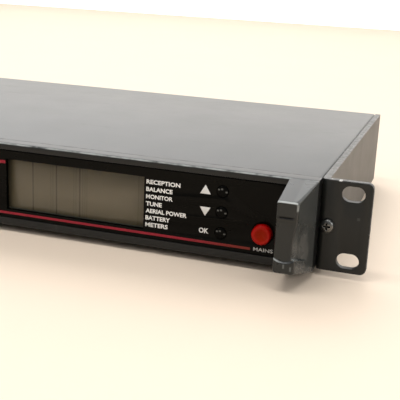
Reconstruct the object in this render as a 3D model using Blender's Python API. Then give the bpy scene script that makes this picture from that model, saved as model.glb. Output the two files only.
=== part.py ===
"""Wireless receiver unit, one rack unit high, as an assembly of separate pieces.

Run it with: blender --background --python part.py

Units are metres. +X is to the right seen from the front, +Y points to the rear
and +Z up. The pieces are laid out in the unit's own drawing frame, whose X = 0 is
the middle of the unit, Y = 0 the front face of the rack ears and Z = 0 the middle
of the front's height. The empty unit_frame carries them all, and puts the world's
origin on the surface the feet stand on, below the middle of the whole unit.
"""

import math

import bmesh
import bpy
from mathutils import Matrix, Vector

# ---------------------------------------------------------------- the whole unit
BODY_WIDTH = 0.4352
BODY_HEIGHT = 0.0433
CHASSIS_DEPTH = 0.1904
FIT_GAP = 0.0003

# ---------------------------------------------------------------- sheet metal
COVER_SHEET = 0.0012
COVER_LIP = 0.006
TRAY_SHEET = 0.0012
TRAY_WALL_DROP = 0.0005
REAR_SHEET = 0.0015
POST_HEIGHT = 0.005
POST_RADIUS = 0.003
POST_INSET = 0.006

# ---------------------------------------------------------------- front frame
FRAME_REACH = 0.0059
FRAME_BACK = 0.0015
FRAME_TOP_BAR = 0.00345
FRAME_BOTTOM_BAR = 0.00425
FRAME_EDGE_RADIUS = 0.0014
RABBET_TOP = 0.00205
RABBET_BOTTOM = 0.00295
RABBET_SIDE = 0.003
WINDOW_SHEET = 0.002
WINDOW_RECESS = 0.0003

# ---------------------------------------------------------------- display
LCD_FROM_WINDOW_END = 0.10775
LCD_VIEW_WIDTH = 0.0751
LCD_BORDER = 0.00225
LCD_SIDE_BORDER = 0.0045
LCD_PLAY = 0.0005
LCD_LIP = 0.0006
LCD_WALL = 0.0012
LCD_GLASS = 0.0022
LCD_BACKLIGHT = 0.0011
BOARD_SHEET = 0.0016
DISPLAY_BOARD_MARGIN = 0.002

# ---------------------------------------------------------------- push buttons
BUTTON_FROM_WINDOW_END = 0.031
BUTTON_RADIUS = 0.0027
BUTTON_PLAY = 0.0003
BUTTON_PROUD = 0.0006
BUTTON_DOME = 0.0005
BUTTON_FLANGE_WIDTH = 0.0007
BUTTON_FLANGE = 0.001
BUTTON_STEM_RADIUS = 0.0016
BUTTON_TRAVEL = 0.0006
TRAVEL_SPARE = 0.0003
SWITCH_SIDE = 0.006
SWITCH_HEIGHT = 0.0034

# ---------------------------------------------------------------- power button
POWER_FROM_WINDOW_END = 0.0109
POWER_FROM_OPENING_BOTTOM = 0.00765
POWER_RADIUS = 0.00475
POWER_PLAY = 0.0004
POWER_PROUD = 0.0028
POWER_RIM_RADIUS = 0.0009
POWER_TRAVEL = 0.0025
POWER_CAP_BACK = 0.006
ROD_RADIUS = 0.002
ROD_SOCKET = 0.004
ROD_LENGTH = 0.06
MAINS_SWITCH_WIDTH = 0.012
MAINS_SWITCH_LENGTH = 0.016
MAINS_SWITCH_OVER_ROD = 0.0055

# ---------------------------------------------------------------- handles
HANDLE_WIDTH = 0.0134
HANDLE_REACH = 0.0238
HANDLE_TAPER = 0.004
HANDLE_TOP_DROP = 0.0047
HANDLE_BOTTOM_DROP = 0.0062
HANDLE_EDGE_RADIUS = 0.0011
HANDLE_FROM_WINDOW = 0.0002
WAIST_DEPTH = 0.0008
WAIST_TOP_MARGIN = 0.0072
WAIST_BOTTOM_MARGIN = 0.0064
SCOOP_DEPTH = 0.0016
SCOOP_BULGE = 0.0035
SCOOP_LENGTH = 0.017
HANDLE_BOLT_SPACING = 0.022
HANDLE_BOLT_GRIP = 0.012

# ---------------------------------------------------------------- rack brackets
BRACKET_SHEET = 0.0032
BEND_RADIUS = 0.0026
EAR_REACH = 0.0202
EAR_CORNER_RADIUS = 0.003
SLOT_LENGTH = 0.0105
SLOT_HEIGHT = 0.0073
SLOT_FROM_EAR_EDGE = 0.00875
SLOT_MARGIN = 0.002125
EAR_SCREW_FROM_BEND = 0.0009
SIDE_SCREW_FRONT = 0.022
SIDE_SCREW_SPACING = 0.018

# ---------------------------------------------------------------- feet
FOOT_HEIGHT = 0.003
FOOT_RADIUS = 0.0065
FOOT_DRAFT = 0.0008
FOOT_SIDE_INSET = 0.045
FOOT_END_INSET = 0.022

# Shares of a screw head's radius or height, and of a shank's radius
HEAD_CROWN_RADIUS = 0.5
HEAD_SHOULDER_HEIGHT = 0.72
HEAD_SHOULDER_RADIUS = 0.84
HEAD_SIDE_HEIGHT = 0.3
SHANK_CHAMFER = 0.3
SHANK_TIP_RADIUS = 0.6
RECESS_ARM = 0.52
RECESS_HALF_WIDTH = 0.13
RECESS_DEPTH = 0.62

# Shares of a button's dome and radius at two rings of its dome
DOME_INNER_DROP = 0.15
DOME_INNER_RADIUS = 0.5
DOME_OUTER_DROP = 0.5
DOME_OUTER_RADIUS = 0.85

# Steps of the grip scoop's shape, and a length that counts as nothing
SCOOP_RINGS = 8
TINY = 1e-6

# ---------------------------------------------------------------- inside
MAIN_BOARD_SHARE_GAP = 0.012
MAIN_BOARD_SIDE_MARGIN = 0.012
BOARD_FRONT_MARGIN = 0.02
BOARD_REAR_MARGIN = 0.002
SUPPLY_BOARD_WIDTH = 0.112
SUPPLY_SIDE_MARGIN = 0.006
SUPPLY_BOARD_START = 0.052
TUNER_WIDTH = 0.062
TUNER_LENGTH = 0.078
TUNER_HEIGHT = 0.013
TUNER_WALL = 0.0008
TUNER_SPACING = 0.09
TRANSFORMER_WIDTH = 0.05
TRANSFORMER_LENGTH = 0.042
TRANSFORMER_HEADROOM = 0.0057
TRANSFORMER_CORE = 0.016
HEAT_SINK_SPACE = 0.003
HEAT_SINK_LENGTH = 0.045
HEAT_SINK_HEIGHT = 0.022
HEAT_SINK_DEPTH = 0.014
HEAT_SINK_BASE = 0.003
HEAT_SINK_FINS = 5
FIN_THICKNESS = 0.0014
CAPACITOR_RADIUS = 0.009
CAPACITOR_HEIGHT = 0.025
CAPACITOR_START = 0.006

# ---------------------------------------------------------------- rear sockets
SOCKET_DROP = 0.001
NUT_THICKNESS = 0.0022
NUT_WALL = 0.0012
NUT_FLATS = 6
AERIAL_FROM_SIDE = 0.0226
AERIAL_REACH = 0.013
AERIAL_BARREL_RADIUS = 0.0048
AERIAL_BARREL_WALL = 0.00075
AERIAL_BORE_DEPTH = 0.0055
AERIAL_POST_RADIUS = 0.0023
AERIAL_POST_SHORTFALL = 0.0009
AERIAL_LUG_RADIUS = 0.001
AERIAL_LUG_REACH = 0.0009
AERIAL_LUG_FROM_TIP = 0.0033
AERIAL_COLLAR_RADIUS = 0.0072
AERIAL_BODY_LENGTH = 0.008
INLET_FROM_SIDE = 0.0676
INLET_FLANGE = 0.0022
INLET_FLANGE_MARGIN = 0.0012
INLET_END_WALL = 0.0058
INLET_SIDE_WALL = 0.0033
INLET_TOP_WALL = 0.0015
INLET_WEB = 0.0034
INLET_BOTTOM_WALL = 0.0013
INLET_RECESS_WIDTH = 0.0244
INLET_RECESS_HEIGHT = 0.0164
INLET_RECESS_DEPTH = 0.0165
INLET_RECESS_CORNER = 0.0045
BLADE_SPACING = 0.007
BLADE_WIDTH = 0.002
BLADE_HEIGHT = 0.004
BLADE_SHORTFALL = 0.001
BLADE_OFFSET = 0.002
FUSE_RADIUS = 0.0025
FUSE_LENGTH = 0.02
DRAWER_DEPTH = 0.02
DRAWER_SIDE_WALL = 0.0014
DRAWER_FLOOR = 0.0009
DRAWER_CLEARANCE = 0.0004
DRAWER_FACE = 0.0012
BALANCED_FROM_CENTRE = -0.066
BALANCED_SIDE_MARGIN = 0.0013
BALANCED_END_MARGIN = 0.0038
BALANCED_FLANGE = 0.002
BALANCED_BORE_RADIUS = 0.0094
BALANCED_WALL = 0.0023
BALANCED_DEPTH = 0.019
BALANCED_INSERT = 0.003
BALANCED_PIN_RADIUS = 0.0012
BALANCED_PIN_INSET = 0.0033
BALANCED_PIN_LENGTH = 0.012
JACK_FROM_CENTRE = -0.024
JACK_BORE_RADIUS = 0.00325
JACK_NOSE_WALL = 0.00145
JACK_NOSE_REACH = 0.0062
JACK_BODY_SIDE = 0.015
JACK_BODY_LENGTH = 0.026
JACK_END_WALL = 0.002

# ---------------------------------------------------------------- screws
PAN_HEAD_RADIUS = 0.0033
PAN_HEAD_HEIGHT = 0.0023
M3_RADIUS = 0.0015
SIDE_SCREW_POKE = 0.0005
EAR_SCREW_SHORTFALL = 0.0004
CAP_HEAD_RADIUS = 0.0035
CAP_HEAD_HEIGHT = 0.003
M4_RADIUS = 0.002
SCREW_CLEARANCE = 0.0004
COVER_SCREW_HEAD_RADIUS = 0.0026
COVER_SCREW_HEAD_HEIGHT = 0.0016
COVER_SCREW_POKE = 0.0017
COVER_SCREW_FROM_INLET = 0.003

# ---------------------------------------------------------------- mesh fineness
ROUND_STEPS = 24
SMALL_STEPS = 16
FUSE_STEPS = 12
PIN_STEPS = 8
CORNER_STEPS = 4
OVERCUT = 0.002
SHARP_ANGLE = math.radians(35)

# ---------------------------------------------------------------- worked-out places
HALF_WIDTH = BODY_WIDTH / 2
HALF_HEIGHT = BODY_HEIGHT / 2
FRAME_FRONT_Y = -FRAME_REACH
CHASSIS_FRONT_Y = FRAME_BACK + FIT_GAP
TRAY_INNER_Y = CHASSIS_FRONT_Y + TRAY_SHEET
REAR_FACE_Y = CHASSIS_DEPTH - COVER_SHEET - FIT_GAP
REAR_INNER_Y = REAR_FACE_Y - REAR_SHEET
TRAY_HALF_WIDTH = HALF_WIDTH - COVER_SHEET - FIT_GAP
TRAY_TOP_Z = HALF_HEIGHT - COVER_SHEET - FIT_GAP - TRAY_WALL_DROP
FLOOR_Z = -HALF_HEIGHT + TRAY_SHEET
INNER_HALF_WIDTH = TRAY_HALF_WIDTH - TRAY_SHEET

WINDOW_END_X = HALF_WIDTH - HANDLE_WIDTH - HANDLE_FROM_WINDOW
WINDOW_TOP_Z = HALF_HEIGHT - FRAME_TOP_BAR
WINDOW_BOTTOM_Z = -HALF_HEIGHT + FRAME_BOTTOM_BAR
WINDOW_FRONT_Y = FRAME_FRONT_Y + WINDOW_RECESS
WINDOW_BACK_Y = WINDOW_FRONT_Y + WINDOW_SHEET
OPENING_END_X = WINDOW_END_X - RABBET_SIDE
OPENING_TOP_Z = WINDOW_TOP_Z - RABBET_TOP
OPENING_BOTTOM_Z = WINDOW_BOTTOM_Z + RABBET_BOTTOM
RABBET_Y = WINDOW_BACK_Y + FIT_GAP

LCD_X = WINDOW_END_X - LCD_FROM_WINDOW_END
LCD_Z = (OPENING_TOP_Z + OPENING_BOTTOM_Z) / 2
LCD_HALF_WIDTH = LCD_VIEW_WIDTH / 2 + LCD_SIDE_BORDER
LCD_HALF_HEIGHT = (OPENING_TOP_Z - OPENING_BOTTOM_Z) / 2 - LCD_PLAY
LCD_FRONT_Y = RABBET_Y
LCD_GLASS_Y = LCD_FRONT_Y + LCD_LIP + FIT_GAP
LCD_LIGHT_Y = LCD_GLASS_Y + LCD_GLASS + FIT_GAP
LCD_BOARD_Y = LCD_LIGHT_Y + LCD_BACKLIGHT + FIT_GAP
DISPLAY_BOARD_Y = LCD_BOARD_Y + BOARD_SHEET + FIT_GAP

BUTTON_X = WINDOW_END_X - BUTTON_FROM_WINDOW_END
BUTTON_PITCH = (OPENING_TOP_Z - OPENING_BOTTOM_Z) / 3
BUTTONS = (
    ("up", LCD_Z + BUTTON_PITCH),
    ("down", LCD_Z),
    ("set", LCD_Z - BUTTON_PITCH),
)
SWITCH_FRONT_Y = DISPLAY_BOARD_Y - FIT_GAP - SWITCH_HEIGHT
POWER_X = WINDOW_END_X - POWER_FROM_WINDOW_END
POWER_Z = OPENING_BOTTOM_Z + POWER_FROM_OPENING_BOTTOM
POWER_FRONT_Y = WINDOW_FRONT_Y - POWER_PROUD
POWER_BACK_Y = WINDOW_FRONT_Y + POWER_CAP_BACK
ROD_FRONT_Y = POWER_BACK_Y - ROD_SOCKET
ROD_BACK_Y = ROD_FRONT_Y + ROD_LENGTH

HANDLE_BASE_Y = FRAME_FRONT_Y - FIT_GAP
HANDLE_FRONT_Y = HANDLE_BASE_Y - HANDLE_REACH
HANDLE_INNER_X = HALF_WIDTH - HANDLE_WIDTH
HANDLE_BOLT_X = INNER_HALF_WIDTH - CAP_HEAD_RADIUS - FIT_GAP

BRACKET_INNER_X = HALF_WIDTH + FIT_GAP
BRACKET_OUTER_X = BRACKET_INNER_X + BRACKET_SHEET
EAR_END_X = BRACKET_OUTER_X + EAR_REACH
SLOT_X = EAR_END_X - SLOT_FROM_EAR_EDGE
SLOT_Z = HALF_HEIGHT - SLOT_MARGIN - SLOT_HEIGHT / 2
EAR_SCREW_X = BRACKET_OUTER_X + EAR_SCREW_FROM_BEND
EAR_SCREW_LENGTH = BRACKET_SHEET - EAR_SCREW_SHORTFALL
SIDE_SCREW_LENGTH = BRACKET_OUTER_X + FIT_GAP - INNER_HALF_WIDTH + SIDE_SCREW_POKE

BOARD_BOTTOM_Z = FLOOR_Z + POST_HEIGHT + FIT_GAP
BOARD_TOP_Z = BOARD_BOTTOM_Z + BOARD_SHEET
ON_BOARD_Z = BOARD_TOP_Z + FIT_GAP
TRANSFORMER_HEIGHT = HALF_HEIGHT - COVER_SHEET - TRANSFORMER_HEADROOM - ON_BOARD_Z
SUPPLY_RIGHT_X = INNER_HALF_WIDTH - SUPPLY_SIDE_MARGIN
SUPPLY_LEFT_X = SUPPLY_RIGHT_X - SUPPLY_BOARD_WIDTH
MAIN_LEFT_X = -INNER_HALF_WIDTH + MAIN_BOARD_SIDE_MARGIN
MAIN_RIGHT_X = SUPPLY_LEFT_X - MAIN_BOARD_SHARE_GAP
MAIN_FRONT_Y = TRAY_INNER_Y + BOARD_FRONT_MARGIN

SOCKET_Z = -SOCKET_DROP
SOCKET_FACE_Y = REAR_FACE_Y + FIT_GAP
AERIAL_X = HALF_WIDTH - AERIAL_FROM_SIDE
AERIAL_TIP_Y = REAR_FACE_Y + AERIAL_REACH
AERIAL_BORE_RADIUS = AERIAL_BARREL_RADIUS - AERIAL_BARREL_WALL
BALANCED_RADIUS = BALANCED_BORE_RADIUS + BALANCED_WALL
BALANCED_HALF_WIDTH = BALANCED_RADIUS + BALANCED_SIDE_MARGIN
BALANCED_HALF_HEIGHT = BALANCED_RADIUS + BALANCED_END_MARGIN
JACK_NOSE_RADIUS = JACK_BORE_RADIUS + JACK_NOSE_WALL

DRAWER_WIDTH = FUSE_LENGTH + 2 * (FIT_GAP + DRAWER_SIDE_WALL)
DRAWER_HEIGHT = 2 * (FUSE_RADIUS + FIT_GAP + DRAWER_FLOOR)
INLET_X = HALF_WIDTH - INLET_FROM_SIDE
INLET_HALF_WIDTH = max(INLET_RECESS_WIDTH, DRAWER_WIDTH) / 2 + INLET_SIDE_WALL
INLET_WALLS = INLET_TOP_WALL + INLET_WEB + INLET_BOTTOM_WALL
INLET_HALF_HEIGHT = (INLET_WALLS + INLET_RECESS_HEIGHT + DRAWER_HEIGHT) / 2
INLET_TOP_Z = SOCKET_Z + INLET_HALF_HEIGHT
INLET_BOTTOM_Z = SOCKET_Z - INLET_HALF_HEIGHT
INLET_BACK_Y = SOCKET_FACE_Y + INLET_FLANGE
INLET_FRONT_Y = INLET_BACK_Y - max(INLET_RECESS_DEPTH, DRAWER_DEPTH) - INLET_END_WALL
INLET_RECESS_Z = INLET_TOP_Z - INLET_TOP_WALL - INLET_RECESS_HEIGHT / 2
DRAWER_Z = INLET_BOTTOM_Z + INLET_BOTTOM_WALL + DRAWER_HEIGHT / 2
BALANCED_FRONT_Y = SOCKET_FACE_Y - BALANCED_DEPTH
JACK_FRONT_Y = REAR_INNER_Y - FIT_GAP - JACK_BODY_LENGTH
BOARD_BACK_Y = min(INLET_FRONT_Y, BALANCED_FRONT_Y, JACK_FRONT_Y) - BOARD_REAR_MARGIN

COVER_SCREW_Z = HALF_HEIGHT - COVER_LIP / 2
INLET_FLANGE_HALF_WIDTH = INLET_HALF_WIDTH + INLET_FLANGE_MARGIN
COVER_SCREW_X = INLET_X + INLET_FLANGE_HALF_WIDTH + COVER_SCREW_FROM_INLET + COVER_SCREW_HEAD_RADIUS
COVER_SCREW_LENGTH = CHASSIS_DEPTH + FIT_GAP - REAR_INNER_Y + COVER_SCREW_POKE

FRONT_MOST_Y = HANDLE_FRONT_Y
REAR_MOST_Y = AERIAL_TIP_Y
UNIT_SHIFT_Y = -(FRONT_MOST_Y + REAR_MOST_Y) / 2
UNIT_SHIFT_Z = HALF_HEIGHT + FIT_GAP + FOOT_HEIGHT

SIDES = (("left", -1), ("right", 1))

# name: (colour, roughness, metallic)
FINISHES = {
    "painted_steel": ((0.045, 0.045, 0.043), 0.42, 0.0),
    "bracket_paint": ((0.03, 0.03, 0.028), 0.4, 0.0),
    "frame_plastic": ((0.035, 0.034, 0.03), 0.35, 0.0),
    "handle_plastic": ((0.045, 0.045, 0.042), 0.45, 0.0),
    "window_acrylic": ((0.008, 0.008, 0.006), 0.12, 0.0),
    "display_glass": ((0.12, 0.105, 0.07), 0.2, 0.0),
    "display_metal": ((0.05, 0.05, 0.05), 0.4, 0.6),
    "backlight_white": ((0.75, 0.75, 0.7), 0.5, 0.0),
    "circuit_board": ((0.02, 0.11, 0.045), 0.45, 0.0),
    "button_plastic": ((0.012, 0.012, 0.011), 0.35, 0.0),
    "switch_plastic": ((0.03, 0.03, 0.03), 0.5, 0.0),
    "power_red": ((0.62, 0.03, 0.012), 0.3, 0.0),
    "rod_plastic": ((0.6, 0.6, 0.56), 0.5, 0.0),
    "screw_black": ((0.06, 0.06, 0.058), 0.35, 0.8),
    "screw_zinc": ((0.55, 0.55, 0.52), 0.3, 1.0),
    "foot_rubber": ((0.015, 0.015, 0.015), 0.8, 0.0),
    "tinplate": ((0.6, 0.6, 0.58), 0.35, 1.0),
    "transformer_wrap": ((0.35, 0.3, 0.08), 0.5, 0.0),
    "heat_sink_metal": ((0.4, 0.4, 0.4), 0.4, 1.0),
    "capacitor_sleeve": ((0.02, 0.03, 0.09), 0.4, 0.0),
    "nickel_plate": ((0.58, 0.56, 0.5), 0.25, 1.0),
    "socket_black": ((0.018, 0.018, 0.018), 0.45, 0.0),
    "fuse_glass": ((0.7, 0.75, 0.75), 0.1, 0.0),
}


# ================================================================ helpers
def clear_scene():
    for thing in list(bpy.data.objects):
        bpy.data.objects.remove(thing, do_unlink=True)


def make_material(name):
    """A Principled material of one finish."""
    colour, roughness, metallic = FINISHES[name]
    material = bpy.data.materials.new(name)
    material.use_nodes = True
    shader = material.node_tree.nodes["Principled BSDF"]
    shader.inputs["Base Color"].default_value = (*colour, 1.0)
    shader.inputs["Roughness"].default_value = roughness
    shader.inputs["Metallic"].default_value = metallic
    return material


def add_box(bm, low, high):
    """A box between two opposite corners."""
    low, high = Vector(low), Vector(high)
    middle = (low + high) / 2
    size = high - low
    place = Matrix.Translation(middle) @ Matrix.Diagonal((*size, 1.0))
    bmesh.ops.create_cube(bm, size=1.0, matrix=place)


def add_prism(bm, outline, along):
    """An outline of 3-D points in one plane, pushed by the vector along."""
    face = bm.faces.new([bm.verts.new(point) for point in outline])
    pushed = bmesh.ops.extrude_face_region(bm, geom=[face])
    verts = [v for v in pushed["geom"] if isinstance(v, bmesh.types.BMVert)]
    bmesh.ops.translate(bm, vec=Vector(along), verts=verts)


def add_turned(bm, profile, centre, axis="Y", steps=ROUND_STEPS):
    """A profile of (place along the axis, radius) points, turned once round it.

    The profile starts and ends on the axis, so the turned shape is closed.
    """
    turn = {
        "X": Matrix.Rotation(-math.pi / 2, 4, "Z"),
        "Y": Matrix.Identity(4),
        "Z": Matrix.Rotation(math.pi / 2, 4, "X"),
    }[axis]
    points = [turn @ Vector((radius, along, 0)) for along, radius in profile]
    verts = [bm.verts.new(Vector(centre) + point) for point in points]
    edges = [bm.edges.new(pair) for pair in zip(verts, verts[1:])]
    bmesh.ops.spin(
        bm,
        geom=verts + edges,
        cent=centre,
        axis=turn @ Vector((0, 1, 0)),
        angle=2 * math.pi,
        steps=steps,
        use_merge=True,
    )
    bmesh.ops.remove_doubles(bm, verts=bm.verts, dist=1e-7)


def add_rod(bm, start, end, radius, axis="Y", steps=SMALL_STEPS):
    """A plain round rod along one axis, from start's place to end's."""
    index = "XYZ".index(axis)
    length = end[index] - start[index]
    profile = [(0, 0), (0, radius), (length, radius), (length, 0)]
    add_turned(bm, profile, start, axis, steps)


def rounded_rectangle(width, height, radius, centre=(0.0, 0.0), steps=CORNER_STEPS):
    """Points of a rectangle with round corners, anticlockwise."""
    points = []
    corners = ((1, 1, 0), (-1, 1, 90), (-1, -1, 180), (1, -1, 270))
    for side_u, side_v, start in corners:
        middle_u = centre[0] + side_u * (width / 2 - radius)
        middle_v = centre[1] + side_v * (height / 2 - radius)
        for step in range(steps + 1):
            angle = math.radians(start + 90 * step / steps)
            u = middle_u + radius * math.cos(angle)
            v = middle_v + radius * math.sin(angle)
            points.append((u, v))
    return points


def place_in_unit(thing):
    thing.parent = bpy.data.objects["unit_frame"]
    bpy.context.scene.collection.objects.link(thing)


def make_mesh(name, bm, origin=(0.0, 0.0, 0.0)):
    """A closed mesh, with its own origin at a point of the drawing frame."""
    bmesh.ops.translate(bm, vec=-Vector(origin), verts=bm.verts)
    bmesh.ops.recalc_face_normals(bm, faces=bm.faces)
    mesh = bpy.data.meshes.new(name)
    bm.to_mesh(mesh)
    bm.free()
    mesh.shade_smooth()
    mesh.set_sharp_from_angle(angle=SHARP_ANGLE)
    return mesh


def make_piece(name, bm, finish, origin):
    """A named sub-part whose origin is a point of the drawing frame."""
    piece = bpy.data.objects.new(name, make_mesh(name, bm, origin))
    piece.data.materials.append(MATERIALS[finish])
    piece.location = origin
    place_in_unit(piece)
    return piece


def use_tool(piece, bm, operation, label):
    """Joins or cuts a piece with a helper shape that is drawn in the same frame."""
    tool = bpy.data.objects.new(f"{piece.name}_{label}", make_mesh(label, bm))
    tool.hide_render = True
    tool.display_type = "WIRE"
    place_in_unit(tool)
    modifier = piece.modifiers.new(label, "BOOLEAN")
    modifier.operation = operation
    modifier.solver = "EXACT"
    modifier.object = tool


def cut(piece, bm, label="cut"):
    use_tool(piece, bm, "DIFFERENCE", label)


def join(piece, bm, label="join"):
    use_tool(piece, bm, "UNION", label)


def box_piece(name, low, high, finish):
    """A box-shaped sub-part with its origin in its middle."""
    bm = bmesh.new()
    add_box(bm, low, high)
    return make_piece(name, bm, finish, (Vector(low) + Vector(high)) / 2)


def bevel_edges(bm, chosen, radius, segments):
    bmesh.ops.bevel(
        bm,
        geom=chosen,
        offset=radius,
        segments=segments,
        profile=0.5,
        affect="EDGES",
    )


# ================================================================ screws
def make_screw_mesh(name, head_radius, head_height, radius, length, finish):
    """A screw along +Y with its head's underside at the origin, and a cross recess."""
    bm = bmesh.new()
    profile = [
        (-head_height, 0),
        (-head_height, HEAD_CROWN_RADIUS * head_radius),
        (-HEAD_SHOULDER_HEIGHT * head_height, HEAD_SHOULDER_RADIUS * head_radius),
        (-HEAD_SIDE_HEIGHT * head_height, head_radius),
        (0, head_radius),
        (0, radius),
        (length - SHANK_CHAMFER * radius, radius),
        (length, SHANK_TIP_RADIUS * radius),
        (length, 0),
    ]
    add_turned(bm, profile, (0, 0, 0), steps=SMALL_STEPS)
    screw = bpy.data.objects.new(name, make_mesh(name, bm))
    bpy.context.scene.collection.objects.link(screw)
    arm = RECESS_ARM * head_radius
    half_slot = RECESS_HALF_WIDTH * head_radius
    recess = bmesh.new()
    outline = []
    for quarter in range(4):
        turn = Matrix.Rotation(quarter * math.pi / 2, 3, "Y")
        for x, z in ((arm, -half_slot), (arm, half_slot), (half_slot, half_slot)):
            outline.append(turn @ Vector((x, -head_height - OVERCUT, -z)))
    add_prism(recess, outline, (0, OVERCUT + RECESS_DEPTH * head_height, 0))
    tool = bpy.data.objects.new(f"{name}_recess", make_mesh("recess", recess))
    bpy.context.scene.collection.objects.link(tool)
    modifier = screw.modifiers.new("recess", "BOOLEAN")
    modifier.operation = "DIFFERENCE"
    modifier.solver = "EXACT"
    modifier.object = tool
    graph = bpy.context.evaluated_depsgraph_get()
    mesh = bpy.data.meshes.new_from_object(screw.evaluated_get(graph))
    bpy.data.objects.remove(screw)
    bpy.data.objects.remove(tool)
    mesh.name = name
    mesh.materials.clear()
    mesh.materials.append(MATERIALS[finish])
    return mesh


def place_screw(name, mesh, location, turn=0.0):
    """One screw of a shared mesh. Its turn about Z says which way it is driven."""
    screw = bpy.data.objects.new(name, mesh)
    screw.location = location
    screw.rotation_euler = (0, 0, turn)
    place_in_unit(screw)


DRIVEN_BACK = 0.0
DRIVEN_FORWARD = math.pi


def driven_inward(side):
    """The turn of a screw that is driven towards the unit's middle from one side."""
    return side * math.pi / 2


# ================================================================ chassis
def side_screw_places(side):
    """Where each bracket's side screws go: (label, Y, Z)."""
    half = SIDE_SCREW_SPACING / 2
    return (("upper", SIDE_SCREW_FRONT, half), ("lower", SIDE_SCREW_FRONT, -half))


def add_side_screw_holes(bm, inner_x, outer_x):
    """Clearance holes for the side screws through a wall on both sides."""
    radius = M3_RADIUS + SCREW_CLEARANCE
    for _, side in SIDES:
        for _, y, z in side_screw_places(side):
            start = (min(side * inner_x, side * outer_x), y, z)
            end = (max(side * inner_x, side * outer_x), y, z)
            add_rod(bm, start, end, radius, "X")


def cover_screw_x():
    """The cover screws' places along the rear edge."""
    return (("left", -COVER_SCREW_X), ("middle", 0.0), ("right", COVER_SCREW_X))


def handle_bolt_places():
    """(side, X, Z) of the bolts that hold the handles, the frame and the tray."""
    half = HANDLE_BOLT_SPACING / 2
    return [(side, side * HANDLE_BOLT_X, z) for _, side in SIDES for z in (half, -half)]


def build_top_cover():
    """Folded sheet: a top, two full-height sides and a short lip down the rear."""
    low = (-HALF_WIDTH, CHASSIS_FRONT_Y, -HALF_HEIGHT)
    high = (HALF_WIDTH, CHASSIS_DEPTH, HALF_HEIGHT)
    cover = box_piece("top_cover", low, high, "painted_steel")
    inner_x = HALF_WIDTH - COVER_SHEET
    hollow = bmesh.new()
    add_box(
        hollow,
        (-inner_x, CHASSIS_FRONT_Y - OVERCUT, -HALF_HEIGHT - OVERCUT),
        (inner_x, CHASSIS_DEPTH - COVER_SHEET, HALF_HEIGHT - COVER_SHEET),
    )
    cut(cover, hollow, "hollow")
    below_lip = bmesh.new()
    add_box(
        below_lip,
        (-inner_x, CHASSIS_DEPTH - 2 * COVER_SHEET, -HALF_HEIGHT - OVERCUT),
        (inner_x, CHASSIS_DEPTH + OVERCUT, HALF_HEIGHT - COVER_LIP),
    )
    cut(cover, below_lip, "below_lip")
    notches = bmesh.new()
    flanges = (
        (INLET_X, INLET_FLANGE_HALF_WIDTH, INLET_TOP_Z + INLET_FLANGE_MARGIN),
        (BALANCED_FROM_CENTRE, BALANCED_HALF_WIDTH, SOCKET_Z + BALANCED_HALF_HEIGHT),
    )
    for x, half_width, top_z in flanges:
        add_box(
            notches,
            (x - half_width - FIT_GAP, CHASSIS_DEPTH - 2 * COVER_SHEET, SOCKET_Z),
            (x + half_width + FIT_GAP, CHASSIS_DEPTH + OVERCUT, top_z + FIT_GAP),
        )
    cut(cover, notches, "flange_notches")
    holes = bmesh.new()
    add_side_screw_holes(holes, inner_x - OVERCUT, HALF_WIDTH + OVERCUT)
    radius = M3_RADIUS + SCREW_CLEARANCE
    for _, x in cover_screw_x():
        start = (x, CHASSIS_DEPTH - COVER_SHEET - OVERCUT, COVER_SCREW_Z)
        add_rod(holes, start, (x, CHASSIS_DEPTH + OVERCUT, COVER_SCREW_Z), radius)
    cut(cover, holes, "holes")


def build_bottom_tray():
    """Folded sheet: a floor, two sides and a front wall, with posts for the boards."""
    low = (-TRAY_HALF_WIDTH, CHASSIS_FRONT_Y, -HALF_HEIGHT)
    high = (TRAY_HALF_WIDTH, REAR_FACE_Y, TRAY_TOP_Z)
    tray = box_piece("bottom_tray", low, high, "painted_steel")
    hollow = bmesh.new()
    add_box(
        hollow,
        (-INNER_HALF_WIDTH, TRAY_INNER_Y, FLOOR_Z),
        (INNER_HALF_WIDTH, REAR_FACE_Y + OVERCUT, TRAY_TOP_Z + OVERCUT),
    )
    cut(tray, hollow, "hollow")
    rear_seat = bmesh.new()
    add_box(
        rear_seat,
        (-TRAY_HALF_WIDTH - OVERCUT, REAR_INNER_Y - FIT_GAP, FLOOR_Z),
        (TRAY_HALF_WIDTH + OVERCUT, REAR_FACE_Y + OVERCUT, TRAY_TOP_Z + OVERCUT),
    )
    cut(tray, rear_seat, "rear_seat")
    openings = bmesh.new()
    add_box(
        openings,
        (LCD_X - LCD_HALF_WIDTH - DISPLAY_BOARD_MARGIN, CHASSIS_FRONT_Y - OVERCUT, OPENING_BOTTOM_Z),
        (OPENING_END_X, TRAY_INNER_Y + OVERCUT, OPENING_TOP_Z),
    )
    for _, x, z in handle_bolt_places():
        start = (x, CHASSIS_FRONT_Y - OVERCUT, z)
        add_rod(openings, start, (x, TRAY_INNER_Y + OVERCUT, z), M4_RADIUS + SCREW_CLEARANCE)
    add_side_screw_holes(openings, INNER_HALF_WIDTH - OVERCUT, TRAY_HALF_WIDTH + OVERCUT)
    cut(tray, openings, "openings")
    posts = bmesh.new()
    for left_x, right_x, front_y in (
        (MAIN_LEFT_X, MAIN_RIGHT_X, MAIN_FRONT_Y),
        (SUPPLY_LEFT_X, SUPPLY_RIGHT_X, SUPPLY_BOARD_START),
    ):
        for x in (left_x + POST_INSET, right_x - POST_INSET):
            for y in (front_y + POST_INSET, BOARD_BACK_Y - POST_INSET):
                start = (x, y, FLOOR_Z - TRAY_SHEET / 2)
                add_rod(posts, start, (x, y, FLOOR_Z + POST_HEIGHT), POST_RADIUS, "Z")
    join(tray, posts, "posts")


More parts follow.
